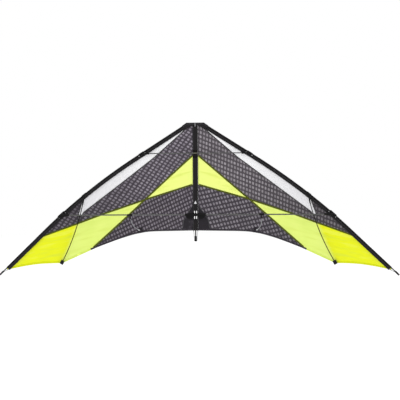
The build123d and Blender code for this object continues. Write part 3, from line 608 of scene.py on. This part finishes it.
def height_on(run, x):
    """Height at x on straight lines through points of the plan; level before the first point."""
    if x < run[0][0]:
        return run[0][1]
    a, b = next((pair for pair in zip(run, run[1:]) if x < pair[1][0]), run[-2:])
    return a[1] + (x - a[0]) * (b[1] - a[1]) / (b[0] - a[0])


station_x = [station[0] for station in STATIONS]
section_values = []
for x, top, leading, trailing in STATIONS:
    foot = min(height_on(FOOT_RUN, x), top - LEAST_CHORD)
    slope = (trailing - leading) / (top - foot)
    section_values.append((top + OVER_EDGE, foot - BELOW_HEM,
                           leading - OVER_EDGE * slope, trailing + BELOW_HEM * slope))
top_at, foot_at, near_at, far_at = [spline_through(station_x, column) for column in zip(*section_values)]
HALF_CLOTH = 0.5
BELLY = 5.0  # how far the middle of the sail stands behind its straight chord
BELLY_FULL = 150  # the belly grows from the spine to this distance
BELLY_END = 940
BELLY_FADE = 250
RIPPLES = ((70, 3.7, 1.6), (26, 9.1, 0.5))  # length, place in the noise, height


def sail_depth(x, z):
    """Distance of the sail's middle behind the frame, at a point of the wing's plan."""
    top, foot = top_at(x), foot_at(x)
    share = (top - z) / (top - foot)
    chord = near_at(x) + (far_at(x) - near_at(x)) * share + HALF_CLOTH
    inside = limited(4 * share * (1 - share))
    wing = limited(x / BELLY_FULL) * limited((BELLY_END - x) / BELLY_FADE)
    ripple = sum(noise.noise(Vector((x / size, z / size, place))) * height for size, place, height in RIPPLES)
    return chord + inside * (BELLY * wing + ripple)


def rounded_run(points):
    """Smooth run through a few points of the trailing edge, as points in the plan."""
    reaches = reaches_along(points)
    x_at, z_at = [spline_through(reaches, values) for values in zip(*points)]
    count = ceil(reaches[-1] / PLAN_PITCH)
    return [(x_at(reaches[-1] * i / count), z_at(reaches[-1] * i / count)) for i in range(count + 1)]


TRAIL_CURVE = (TRAIL_LINE, (267, -88), (365, -112), (508, -164.5))
TRAIL_ARC = (TRAIL_BATTEN, (778, -240), TRAIL_TIP)


def trailing_points(lift):
    """Points of the trailing edge from the spine to the tip, moved up by a lift."""
    run = sampled([TRAIL_SPINE, TRAIL_LINE])
    run += rounded_run(TRAIL_CURVE)[1:]
    run += sampled([TRAIL_CURVE[-1], TRAIL_BATTEN])[1:]
    run += rounded_run(TRAIL_ARC)[1:]
    return [(x, z + lift) for x, z in run]


HEM = 8  # width of the trailing edge hem
FIN = 17.3  # width of the leading edge sleeve below the rod's centre
UNDERLAP = 7  # how far the cloth goes on behind the leading edge sleeve's flat part
TIP_BARE = 46  # how far from the rod's end the sail stops


def under_edge(reach):
    """Point of the sail's upper edge, below the leading edge rod, in the plan."""
    centre, forward = edge_place(reach)
    inward = Vector((forward.z, -forward.x)).normalized()
    return (centre.x + inward.x * (FIN - UNDERLAP), centre.z + inward.y * (FIN - UNDERLAP))


def wing_plan(lift):
    """Closed outline of one wing's sail in its plan."""
    outline = trailing_points(lift)
    tip_reach = edge_length - TIP_BARE
    count = ceil(tip_reach / PLAN_PITCH)
    upper_edge = [under_edge(tip_reach * (count - i) / count) for i in range(count + 1)]
    end_x, end_z = upper_edge[-1]
    spine_end = (SAIL_INNER, end_z + (SAIL_INNER - end_x) * edge_down.z / edge_down.x)
    outline += sampled([outline[-1], upper_edge[0]])[1:] + upper_edge[1:]
    outline += sampled([upper_edge[-1], spine_end, outline[0]])[1:-1]
    return outline


def sides_of(outline):
    """Pairs of neighbouring points of a closed outline."""
    return zip(outline, outline[1:] + outline[:1])


def inside_plan(point, outline):
    """Whether a point lies inside a closed outline."""
    x, z = point
    inside = False
    for (ax, az), (bx, bz) in sides_of(outline):
        if (az > z) != (bz > z) and x < ax + (z - az) * (bx - ax) / (bz - az):
            inside = not inside
    return inside


def distance_to_runs(point, runs):
    """Distance from a point to the nearest of many straight lines."""
    least = 1e9
    x, z = point
    for (ax, az), (bx, bz) in runs:
        dx, dz = bx - ax, bz - az
        share = limited(((x - ax) * dx + (z - az) * dz) / (dx * dx + dz * dz))
        least = min(least, hypot(x - ax - share * dx, z - az - share * dz))
    return least


# Seams and panels of the right wing, as points of its plan
CROSSING = (255, 73)
A_SPINE, A_TRAIL = (0, 295), (582, -219)
B_SPINE, B_MIDDLE, B_JOINT, B_LEAD = (0, 148.5), (460, 4), (582, -41.75), (824, -129)
VENT_NOSE, VENT_MIDDLE, VENT_CORNER = (20, 432), (200, 276), (550, 13)
VENT_FOOT_IN, VENT_FOOT_OUT, VENT_TOP_OUT = (561, -5), (578, -5), (547, 80)
PANELS = {
    "mesh_panel": (VENT_NOSE, VENT_MIDDLE, VENT_CORNER, VENT_FOOT_IN, VENT_FOOT_OUT, VENT_TOP_OUT,
                   (600, 200), (100, 500)),
    "upper_print_panel": (VENT_NOSE, VENT_MIDDLE, VENT_CORNER, VENT_FOOT_IN, VENT_FOOT_OUT, B_JOINT,
                          B_MIDDLE, CROSSING, A_SPINE, (0, 450)),
    "outer_print_panel": (VENT_TOP_OUT, VENT_FOOT_OUT, B_JOINT, B_LEAD, (820, 100), (600, 200)),
    "centre_neon_panel": (A_SPINE, CROSSING, B_SPINE),
    "lower_print_panel": (B_SPINE, CROSSING, A_TRAIL, (560, -400), (0, -400)),
    "tip_neon_panel": (CROSSING, B_MIDDLE, B_JOINT, B_LEAD, (1100, -131), (1100, -500), (560, -500),
                       A_TRAIL),
}
PANEL_CLOTH = {  # material of each side, or of both
    "mesh_panel": (mesh_vent, "mesh_cloth"),
    "upper_print_panel": (upper_print, "print_cloth"),
    "outer_print_panel": (upper_print, "print_cloth"),
    "centre_neon_panel": (neon, "neon_cloth"),
    "lower_print_panel": (lower_print, "print_cloth"),
    "tip_neon_panel": (neon, "neon_cloth"),
}


def cut_cloth(outline, shapes, pitch):
    """Triangles of the plan inside the outline, split by shapes: {shape name: (points, faces)}."""
    loops = [outline] + [sampled((*shape, shape[0]))[:-1] for shape in shapes.values()]
    coords, edges = [], []
    for loop in loops:
        edges += sides_of(list(range(len(coords), len(coords) + len(loop))))
        coords += loop
    runs = [pair for shape in (*shapes.values(), outline) for pair in sides_of(shape)]
    xs = [x for x, _ in outline]
    zs = [z for _, z in outline]
    row_step = pitch * 0.866
    rows = int((max(zs) - min(zs)) / row_step) + 1
    for row in range(rows):
        z = min(zs) + row * row_step
        x = min(xs) + (row % 2) * pitch / 2
        while x < max(xs):
            if inside_plan((x, z), outline) and distance_to_runs((x, z), runs) > pitch * 0.45:
                coords.append((x, z))
            x += pitch
    found = delaunay_2d_cdt([Vector(c) for c in coords], edges, [], 0, 1e-4)
    points, triangles = found[0], found[2]
    middles = [tuple(sum((points[v] for v in t), Vector((0, 0))) / 3) for t in triangles]
    cut = {}
    for name, shape in shapes.items():
        chosen = [t for t, middle in zip(triangles, middles)
                  if inside_plan(middle, outline) and inside_plan(middle, shape)]
        used = sorted({v for t in chosen for v in t})
        place = {v: i for i, v in enumerate(used)}
        cut[name] = ([(points[v].x, points[v].y) for v in used],
                     [tuple(place[v] for v in t) for t in chosen])
    return cut


def cloth_size(points, faces):
    """Width, length and area in metres of the flat cut: the least rectangle round it."""
    plan_area = shape_area = 0.0
    for face in faces:
        a, b, c = [Vector(points[i]) for i in face]
        cross = (b - a).cross(c - a)
        shape_area += cross.length / 2
        plan_area += abs(cross.y) / 2
    boxes = []
    for turn in range(0, 180, 3):
        across, up = cos(radians(turn)), sin(radians(turn))
        first = [x * across + z * up for x, _, z in points]
        second = [z * across - x * up for x, _, z in points]
        boxes.append((max(first) - min(first), max(second) - min(second)))
    width, length = min(boxes, key=lambda box: box[0] * box[1])
    grown = sqrt(shape_area / plan_area)
    return width * grown * MM, length * grown * MM, shape_area * MM * MM


def normal_at(x, z):
    """Direction square to the sail, towards the back."""
    dx = (sail_depth(x + 1, z) - sail_depth(x - 1, z)) / 2
    dz = (sail_depth(x, z + 1) - sail_depth(x, z - 1)) / 2
    return Vector((-dx, 1, -dz)).normalized()


def band(name, run, half_width, half_thickness, material, mirrored, lift=0.0, steps=5):
    """Flat tube of cloth that follows the sail along a run of its plan, closed at both ends."""
    points, uvs = [], []
    columns = 4 * steps
    for i, ((x, z), reach) in enumerate(zip(run, reaches_along(run))):
        ahead, behind = run[min(i + 1, len(run) - 1)], run[max(i - 1, 0)]
        tangent = Vector((ahead[0] - behind[0], ahead[1] - behind[1])).normalized()
        for k in range(columns):
            turn = 2 * pi * k / columns
            side = half_width * limited(1.15 * cos(turn), -1, 1)
            rise = half_thickness * limited(1.3 * sin(turn), -1, 1) * (1 + 0.12 * sin(reach / 5.5))
            px, pz = x - tangent.y * side, z + tangent.x * side
            centre = Vector((px, sail_depth(px, pz), pz)) + normal_at(px, pz) * (rise + lift)
            points.append(tuple(centre))
            uvs.append((reach, side))
    faces = grid_faces(len(run), columns, closed=True)
    faces.append(tuple(range(columns))[::-1])
    faces.append(tuple(len(points) - columns + k for k in range(columns)))
    return mesh_piece(name, points, faces, material, uvs, mirrored=mirrored)


# --- Cloth of each wing ---
HEM_OVERLAP = 1.5
above_hem = wing_plan(HEM - HEM_OVERLAP)
whole_wing = wing_plan(0)
wing_cut = cut_cloth(above_hem, PANELS, 8.0)
NEON_SEAM = 3.9  # half widths
VENT_SEAM = 2.2
VENT_INNER = (VENT_NOSE, VENT_MIDDLE, VENT_CORNER, VENT_FOOT_IN, VENT_FOOT_OUT)
SEAMS = {
    "centre_upper_seam": ((A_SPINE, CROSSING), NEON_SEAM, olive_seam),
    "centre_lower_seam": ((B_SPINE, CROSSING), NEON_SEAM, olive_seam),
    "lower_panel_seam": ((CROSSING, A_TRAIL), NEON_SEAM, olive_seam),
    "tip_panel_seam": ((CROSSING, B_MIDDLE, B_JOINT, B_LEAD), NEON_SEAM, olive_seam),
    "vent_inner_seam": (VENT_INNER, VENT_SEAM, dark_seam),
    "vent_outer_seam": ((VENT_TOP_OUT, VENT_FOOT_OUT, B_JOINT), VENT_SEAM, dark_seam),
}
CENTRE_PATCH = ((0, 66), (45, 0), (62, -27), (70, -90), (0, -90))
CORNER_PATCH = ((257, -105), (280, -63), (294, -69), (300, -105))
patch_cut = cut_cloth(above_hem, {"centre_reinforcement": CENTRE_PATCH}, 6.0)
patch_cut.update(cut_cloth(whole_wing, {"standoff_patch": CORNER_PATCH}, 5.0))
PATCH_FORWARD = {"centre_reinforcement": 1.2, "standoff_patch": 1.9}
SLEEVE_START = 13  # distances along the leading edge rod, from its nose end
SLEEVE_END = edge_length - 48
OPENINGS = ((266, 37.6), (608, 25), (756, 44.5))  # middle and length of each opening in the sleeve
FIN_SECTION = (  # the flat part, as places outward from the rod and towards the flyer
    (-17.0, 0.9), (-15.0, 0.95), (-12.5, 1.0), (-9.2, 1.05), (-7.2, 1.25), (-5.6, 1.75), (-4.2, 2.4),
)
ROD_WRAP = 3.75
WRAP_TURN = 0.79 * pi  # the cloth leaves the rod at this angle on each side
WRAP_STEPS = 14
LOOSE_BELOW = -8  # the flat part ripples below this


def edge_sleeve(name, mirrored):
    """Leading edge sleeve with its openings, from the nose to the wing tip."""
    turns = [WRAP_TURN - 2 * WRAP_TURN * i / WRAP_STEPS for i in range(WRAP_STEPS + 1)]
    section = list(FIN_SECTION) + [(ROD_WRAP * cos(turn), ROD_WRAP * sin(turn)) for turn in turns]
    section += [(x, -y) for x, y in reversed(FIN_SECTION)]
    across = reaches_along(section)
    breaks = sorted({reach + sign * length / 2 for reach, length in OPENINGS for sign in (-1, 1)})
    stops = [SLEEVE_START, *breaks, SLEEVE_END]
    reaches = [stops[0]]
    for a, b in zip(stops, stops[1:]):
        count = max(1, ceil((b - a) / 7))
        reaches += [a + (b - a) * i / count for i in range(1, count + 1)]

    def spot(reach, column):
        (x, y), side = section[column], across[column]
        centre, outward, forward = edge_axes(reach)
        swell = 1 + 0.03 * noise.noise(Vector((reach / 22, 0.5, 0.5)))
        loose = 0.25 * noise.noise(Vector((reach / 9, x / 6, y / 4)))
        point = centre + outward * x + forward * (y * swell + loose * (x < LOOSE_BELOW))
        return tuple(point), (reach, min(side, across[-1] - side))

    def keep(row, column):
        middle = (reaches[row] + reaches[row + 1]) / 2
        rod_zone = 5 <= column < len(section) - 6
        return not (rod_zone and any(abs(middle - reach) < length / 2 for reach, length in OPENINGS))

    return grid_piece(name, reaches, range(len(section)), spot, sleeve_cloth, keep=keep, thickness=0.6,
                      mirrored=mirrored)


def soft_line(name, points, radius, material, mirrored=False, closed=False):
    """Smooth cord through a route."""
    curve = bpy.data.curves.new(name, "CURVE")
    curve.dimensions = "3D"
    curve.bevel_depth = radius * MM
    curve.bevel_resolution = 3
    curve.resolution_u = 10
    curve.use_fill_caps = True
    spline = curve.splines.new("NURBS")
    spline.points.add(len(points) - 1)
    flip = -1 if mirrored else 1
    for place, (x, y, z) in zip(spline.points, points):
        place.co = (flip * x * MM, y * MM, z * MM, 1)
    spline.order_u = 3
    spline.use_endpoint_u = not closed
    spline.use_cyclic_u = closed
    curve.materials.append(material)
    return link(bpy.data.objects.new(name, curve))


def knot(name, centre, size, material, mirrored=False):
    """Small overhand knot."""
    points = []
    for i in range(18):
        turn = 2 * pi * i / 18
        points.append((centre[0] + size * (sin(turn) + 2 * sin(2 * turn)) / 3,
                       centre[1] + size * -sin(3 * turn) / 2,
                       centre[2] + size * (cos(turn) - 2 * cos(2 * turn)) / 3))
    return soft_line(name, points, 0.75, material, mirrored, closed=True)


def ring(name, centre, major, minor, material, around=36, across=10):
    """Moulded bead round the mouth of a socket that opens along X."""
    points, uvs = [], []
    for i in range(around):
        turn = 2 * pi * i / around
        out = Vector((0, cos(turn + pi / 4), sin(turn + pi / 4)))
        for k in range(across):
            tilt = 2 * pi * k / across
            side = Vector((minor * sin(tilt), 0, 0))
            points.append(tuple(centre + out * (major + minor * cos(tilt)) + side))
            uvs.append((turn * major, tilt * minor))
    faces = grid_faces(around, across, closed=True)
    last = (around - 1) * across
    faces += [(last + k, last + (k + 1) % across, (k + 1) % across, k) for k in range(across)]
    return mesh_piece(name, points, faces, material, uvs)


def finish_piece(obj, body, slot_name, *nodes):
    """Hide the nodes that a piece stands for and put it on the body that it rides on; slot_name is not used.
    """
    if nodes:
        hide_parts(*nodes)
    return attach(obj, body)


# --- Spine sleeve and what is sewn on it ---
SPINE_HALF = 12
SPINE_TOP, SPINE_FOOT = 428, -76
WINDOW = (-20, 18)  # foot and top of the sleeve's opening at the centre T
WINDOW_HALF = 7.25


def spine_bulge(x):
    """Half depth of the spine sleeve at a distance from its middle."""
    return 0.9 + 3.5 * max(0.0, 1 - (x / SPINE_HALF) ** 2) ** 0.75


spine_half_xs = [1.6, 3.2, 4.8, 6.2, 7.3, 9.6, 10.9, 11.6, 12]
spine_xs = [-x for x in reversed(spine_half_xs)] + [0] + spine_half_xs
spine_loop = [(x, -1) for x in spine_xs] + [(x, 1) for x in reversed(spine_xs)]
spine_levels = [z for _, z in sampled([(0, z) for z in (SPINE_FOOT, *WINDOW, SPINE_TOP)], 7)]


def spine_spot(z, place):
    x, face_side = place
    gather = 0.22 * noise.noise(Vector((x / 5, z / 16, face_side * 3)))
    return (x, face_side * (spine_bulge(x) + gather), z), (z, x)


def spine_keep(row, column):
    """Leave out the faces of the opening at the centre T, on both sides of the sleeve."""
    middle = (spine_levels[row] + spine_levels[row + 1]) / 2
    following = (column + 1) % len(spine_loop)
    same_side = spine_loop[column][1] == spine_loop[following][1]
    narrow = abs(spine_loop[column][0] + spine_loop[following][0]) / 2 < WINDOW_HALF
    return not (same_side and narrow and WINDOW[0] < middle < WINDOW[1])


spine_sleeve = grid_piece("spine_sleeve_cloth", spine_levels, spine_loop, spine_spot, spine_cloth,
                          closed=True, keep=spine_keep, thickness=0.5)
finish_piece(spine_sleeve, "spine", "sleeve_webbing", "spine_sleeve")

KEEPER_MIDDLE = 294
KEEPER_HALF = 11.2
KEEPER_NARROWING = 2.4  # the cloth draws in where it lifts over the spreader
KEEPER_LIFT = 4
KEEPER_PROFILE = (  # height from the middle, and how far the cloth lifts off the sleeve
    (-23, 0), (-18.5, 0), (-13.5, 0), (-8.5, 0), (-5.5, 1.6), (-3.9, 4.0), (-3.3, 6.0), (-2.1, 7.6),
    (0, 8.2), (2.1, 7.6), (3.3, 6.0), (3.8, 4.0), (5.3, 1.6), (8, 0), (11.5, 0), (15, 0),
)
keeper_reaches = reaches_along(KEEPER_PROFILE)


def keeper_spot(row, across):
    z, out = KEEPER_PROFILE[row]
    share = min(1.0, out / KEEPER_LIFT)
    x = (KEEPER_HALF - KEEPER_NARROWING * share) * across
    held, pulled = -(spine_bulge(x) + 0.7), -(spine_bulge(0) + out)
    return (x, held * (1 - share) + pulled * share, KEEPER_MIDDLE + z), (x, keeper_reaches[row] - 25)


keeper = grid_piece("spreader_keeper_cloth", range(len(KEEPER_PROFILE)), [k / 6 - 1 for k in range(13)],
                    keeper_spot, keeper_cloth, thickness=0.8)
finish_piece(keeper, "spine", "sleeve_webbing", "spreader_keeper")

TAB_FOOT = 52
TAB_LENGTH = 14
TAB_HALF = 6.5
TAB_POINT_HALF = 0.35


def tab_spot(share, across):
    x = (TAB_HALF * (1 - share) + TAB_POINT_HALF) * across
    z = TAB_FOOT + TAB_LENGTH * share
    return (x, -(spine_bulge(x) + 0.75 + 0.15 * sin(2.2 * share * pi)), z), (x, z)


tab = grid_piece("sleeve_tab_cloth", [i / 8 for i in range(9)], [k / 4 - 1 for k in range(9)], tab_spot,
                 white_tape, thickness=0.5)
finish_piece(tab, "spine", "white_tab", "sleeve_tab")

NOSE_TOP = (42, 440.5)  # outer end of the flat top
NOSE_OUT = (64, 425.4)
NOSE_CHEEK = (51, 410)
NOSE_THROAT = (13.5, 426)
NOSE_HALF_DEPTH = 5.8
nose_columns = [0, 3, 6, 9, 12, 15, 18, 21, 24, 27, 30, 34, 38, 42, 46, 51, 54, 57, 60, 63]


def nose_spot(x, share):
    """Folded webbing: from the foot at the flyer's side over the top to the foot at the back."""
    top = height_on((NOSE_TOP, NOSE_OUT), x)
    height = max(2.0, top - height_on((NOSE_THROAT, NOSE_CHEEK, NOSE_OUT), x))
    bend = min(NOSE_HALF_DEPTH, height / 2)
    down = abs(share) ** 1.35 * height
    cheek = sqrt(1 - (1 - down / bend) ** 2) if down < bend else 1.0
    pull = 1 - 0.12 * sin(min(1.0, down / height) * pi) * (0.5 + 0.5 * sin(x / 6))
    return (x, (1 if share > 0 else -1) * NOSE_HALF_DEPTH * cheek * pull, top - down), (x, down)


for side, sign in SIDES:
    nose_half = grid_piece(f"{side}_nose_webbing", nose_columns, [k / 13 - 1 for k in range(27)], nose_spot,
                           nose_cloth, thickness=0.8, mirrored=sign < 0)
    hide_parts("nose_patch")
    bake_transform(nose_half)

LOOP_FOOT = 421.8
LOOP_LENGTH = 17.4
LOOP_HALF = 2.2
LOOP_BOW = 0.8


def loop_spot(share, across):
    x, z = LOOP_HALF * across, LOOP_FOOT + LOOP_LENGTH * share
    return (x, -(NOSE_HALF_DEPTH + 0.75 + LOOP_BOW * sin(share * pi)), z), (z, x)


nose_tape = grid_piece("nose_loop_tape", [i / 15 for i in range(16)], [k / 2 - 1 for k in range(5)],
                       loop_spot, pale_tape, thickness=0.6)
finish_piece(nose_tape, "spine", "pale_tape", "nose_loop")

CORD_RADIUS = 0.9
TAIL_HALF = (
    (10.5, 0, -76), (8.8, 0, -88), (7.3, 0, -101), (7.0, 0, -108), (6.9, 0, -118), (6.9, 0, -126.6),
    (2.5, 0, -126.4),
)
TAIL_ROUTE = TAIL_HALF + tuple((-x, y, z) for x, y, z in reversed(TAIL_HALF))
TAIL_KNOT = Vector((10.2, 0, -78))
TAIL_KNOT_SIZE = 1.9
TEE_MOUTH = Vector((48.6, -11.5, 0))
TEE_BEAD_RADIUS = 6.1
TEE_BEAD_HALF = 0.75
tail_line = soft_line("tail_tension_line", TAIL_ROUTE, CORD_RADIUS, tail_cord_cover)
finish_piece(tail_line, "spine", "tension_cord", "tail_tension_cord")
for side, sign in SIDES:
    turned = Vector((sign, 1, 1))
    tail_knot = knot(f"{side}_tail_knot", TAIL_KNOT * turned, TAIL_KNOT_SIZE, tail_cord_cover)
    finish_piece(tail_knot, "spine", "tension_cord")
    bead = ring(f"{side}_tee_bead", TEE_MOUTH * turned, TEE_BEAD_RADIUS, TEE_BEAD_HALF, rubber)
    finish_piece(bead, "spine", "moulded_rubber")


# --- Both wings ---
def tip_point(across, toward, along):
    """Point near the wing tip, from the rod's end."""
    centre, outward, flyer_side = edge_axes(edge_length + along)
    return tuple(centre + outward * across + flyer_side * toward)


TIP_HALF = (  # across the rod, towards the flyer, along the rod
    (-12, 1.7, -47.5), (-7, 4.6, -33), (-2.4, 7.3, -19), (-0.9, 6.9, -6), (0, 6.8, 3.0), (0, 2.4, 3.0),
)
TIP_ROUTE = TIP_HALF + tuple((a, -b, c) for a, b, c in reversed(TIP_HALF))
TIP_KNOTS = {"front": (-12, 1.9, -47), "back": (-12, -1.9, -47)}
TIP_KNOT_SIZE = 2.3
SEAM_HALF_THICKNESS = 0.75
HEM_HALF_THICKNESS = 0.9
PRINT_HEM_END = 528  # where the hem passes from the lower print panel to the tip neon panel
PATCH_STITCHES = ((18, 38), (43, -2), (58.5, -28), (64.5, -66))

for side, sign in SIDES:
    body = f"{side}_wing"
    left = sign < 0
    sleeve = edge_sleeve(f"{side}_edge_sleeve_cloth", left)
    finish_piece(sleeve, body, "sleeve_webbing", f"{side}_leading_edge_sleeve")

    for seam_name, (corners, half_width, material) in SEAMS.items():
        run = [point for point in sampled(corners, 6) if inside_plan(point, above_hem)]
        seam = band(f"{side}_{seam_name}", run, half_width, SEAM_HALF_THICKNESS, material, left)
        finish_piece(seam, body, "hem_cloth")

    hem_run = trailing_points(HEM / 2)
    neon_from, tip_from = [sum(x <= end for x, _ in hem_run) for end in (PRINT_HEM_END, TRAIL_BATTEN[0])]
    for hem_name, run, material in (("inner", hem_run[:neon_from + 1], hem_cloth),
                                    ("middle", hem_run[neon_from:tip_from + 1], backlit_neon_hem),
                                    ("outer", hem_run[tip_from:], outer_neon_hem)):
        hem = band(f"{side}_trailing_hem_{hem_name}", run, HEM / 2, HEM_HALF_THICKNESS, material, left)
        finish_piece(hem, body, "hem_cloth", f"{side}_trailing_edge_hem")

    for panel_name, (plan, faces) in wing_cut.items():
        material, slot_name = PANEL_CLOTH[panel_name]
        if slot_name == "print_cloth":
            material = material[side]
        points = [(x, sail_depth(x, z), z) for x, z in plan]
        width, length, area = cloth_size(points, faces)
        panel = mesh_piece(f"{side}_{panel_name}_cloth", points, faces, material, plan, thickness=0.3,
                           mirrored=left)
        finish_piece(panel, body, slot_name, f"{side}_{panel_name}")

    for patch_name, (plan, faces) in patch_cut.items():
        forward = PATCH_FORWARD[patch_name]
        points = [tuple(Vector((x, sail_depth(x, z), z)) - normal_at(x, z) * forward) for x, z in plan]
        width, length, area = cloth_size(points, faces)
        patch = mesh_piece(f"{side}_{patch_name}_cloth", points, faces, patch_cloth, plan, thickness=0.5,
                           mirrored=left)
        finish_piece(patch, body, "patch_cloth", f"{side}_{patch_name}")

    stitch_run = sampled(PATCH_STITCHES, 4)
    stitching = band(f"{side}_patch_stitching", stitch_run, 0.7, 0.35, thread_line, left, lift=-1.6, steps=2)
    finish_piece(stitching, body, "patch_cloth")

    tip_line = soft_line(f"{side}_tip_tension_line", [tip_point(*place) for place in TIP_ROUTE], CORD_RADIUS,
                         tip_cord_cover, left)
    finish_piece(tip_line, body, "tension_cord", f"{side}_tip_tension_cord")
    for end, place in TIP_KNOTS.items():
        tip_knot = knot(f"{side}_tip_knot_{end}", tip_point(*place), TIP_KNOT_SIZE, knot_cover, left)
        finish_piece(tip_knot, body, "tension_cord")


# --- Floor ---
floor_shade = Shade("studio_floor", 0.9, specular=0.1)
floor_cloud = floor_shade.mottle(floor_shade.place(), 1.5, 2.0)
floor_shade.put("Base Color", floor_shade.mix(floor_cloud, (250, 250, 250), (253, 253, 253)))
floor_shade.put("Emission Color", (1, 1, 1, 1))
floor_shade.put("Emission Strength", 0.12)
FLOOR_HALF = 30
FLOOR_HEIGHT = -1.2
floor_mesh = bpy.data.meshes.new("studio_floor")
floor_mesh.from_pydata([(x * FLOOR_HALF, y * FLOOR_HALF, FLOOR_HEIGHT)
                        for x, y in ((-1, -1), (1, -1), (1, 1), (-1, 1))], [], [(0, 1, 2, 3)])
floor_mesh.materials.append(floor_shade.material)
link(bpy.data.objects.new("studio_floor", floor_mesh))
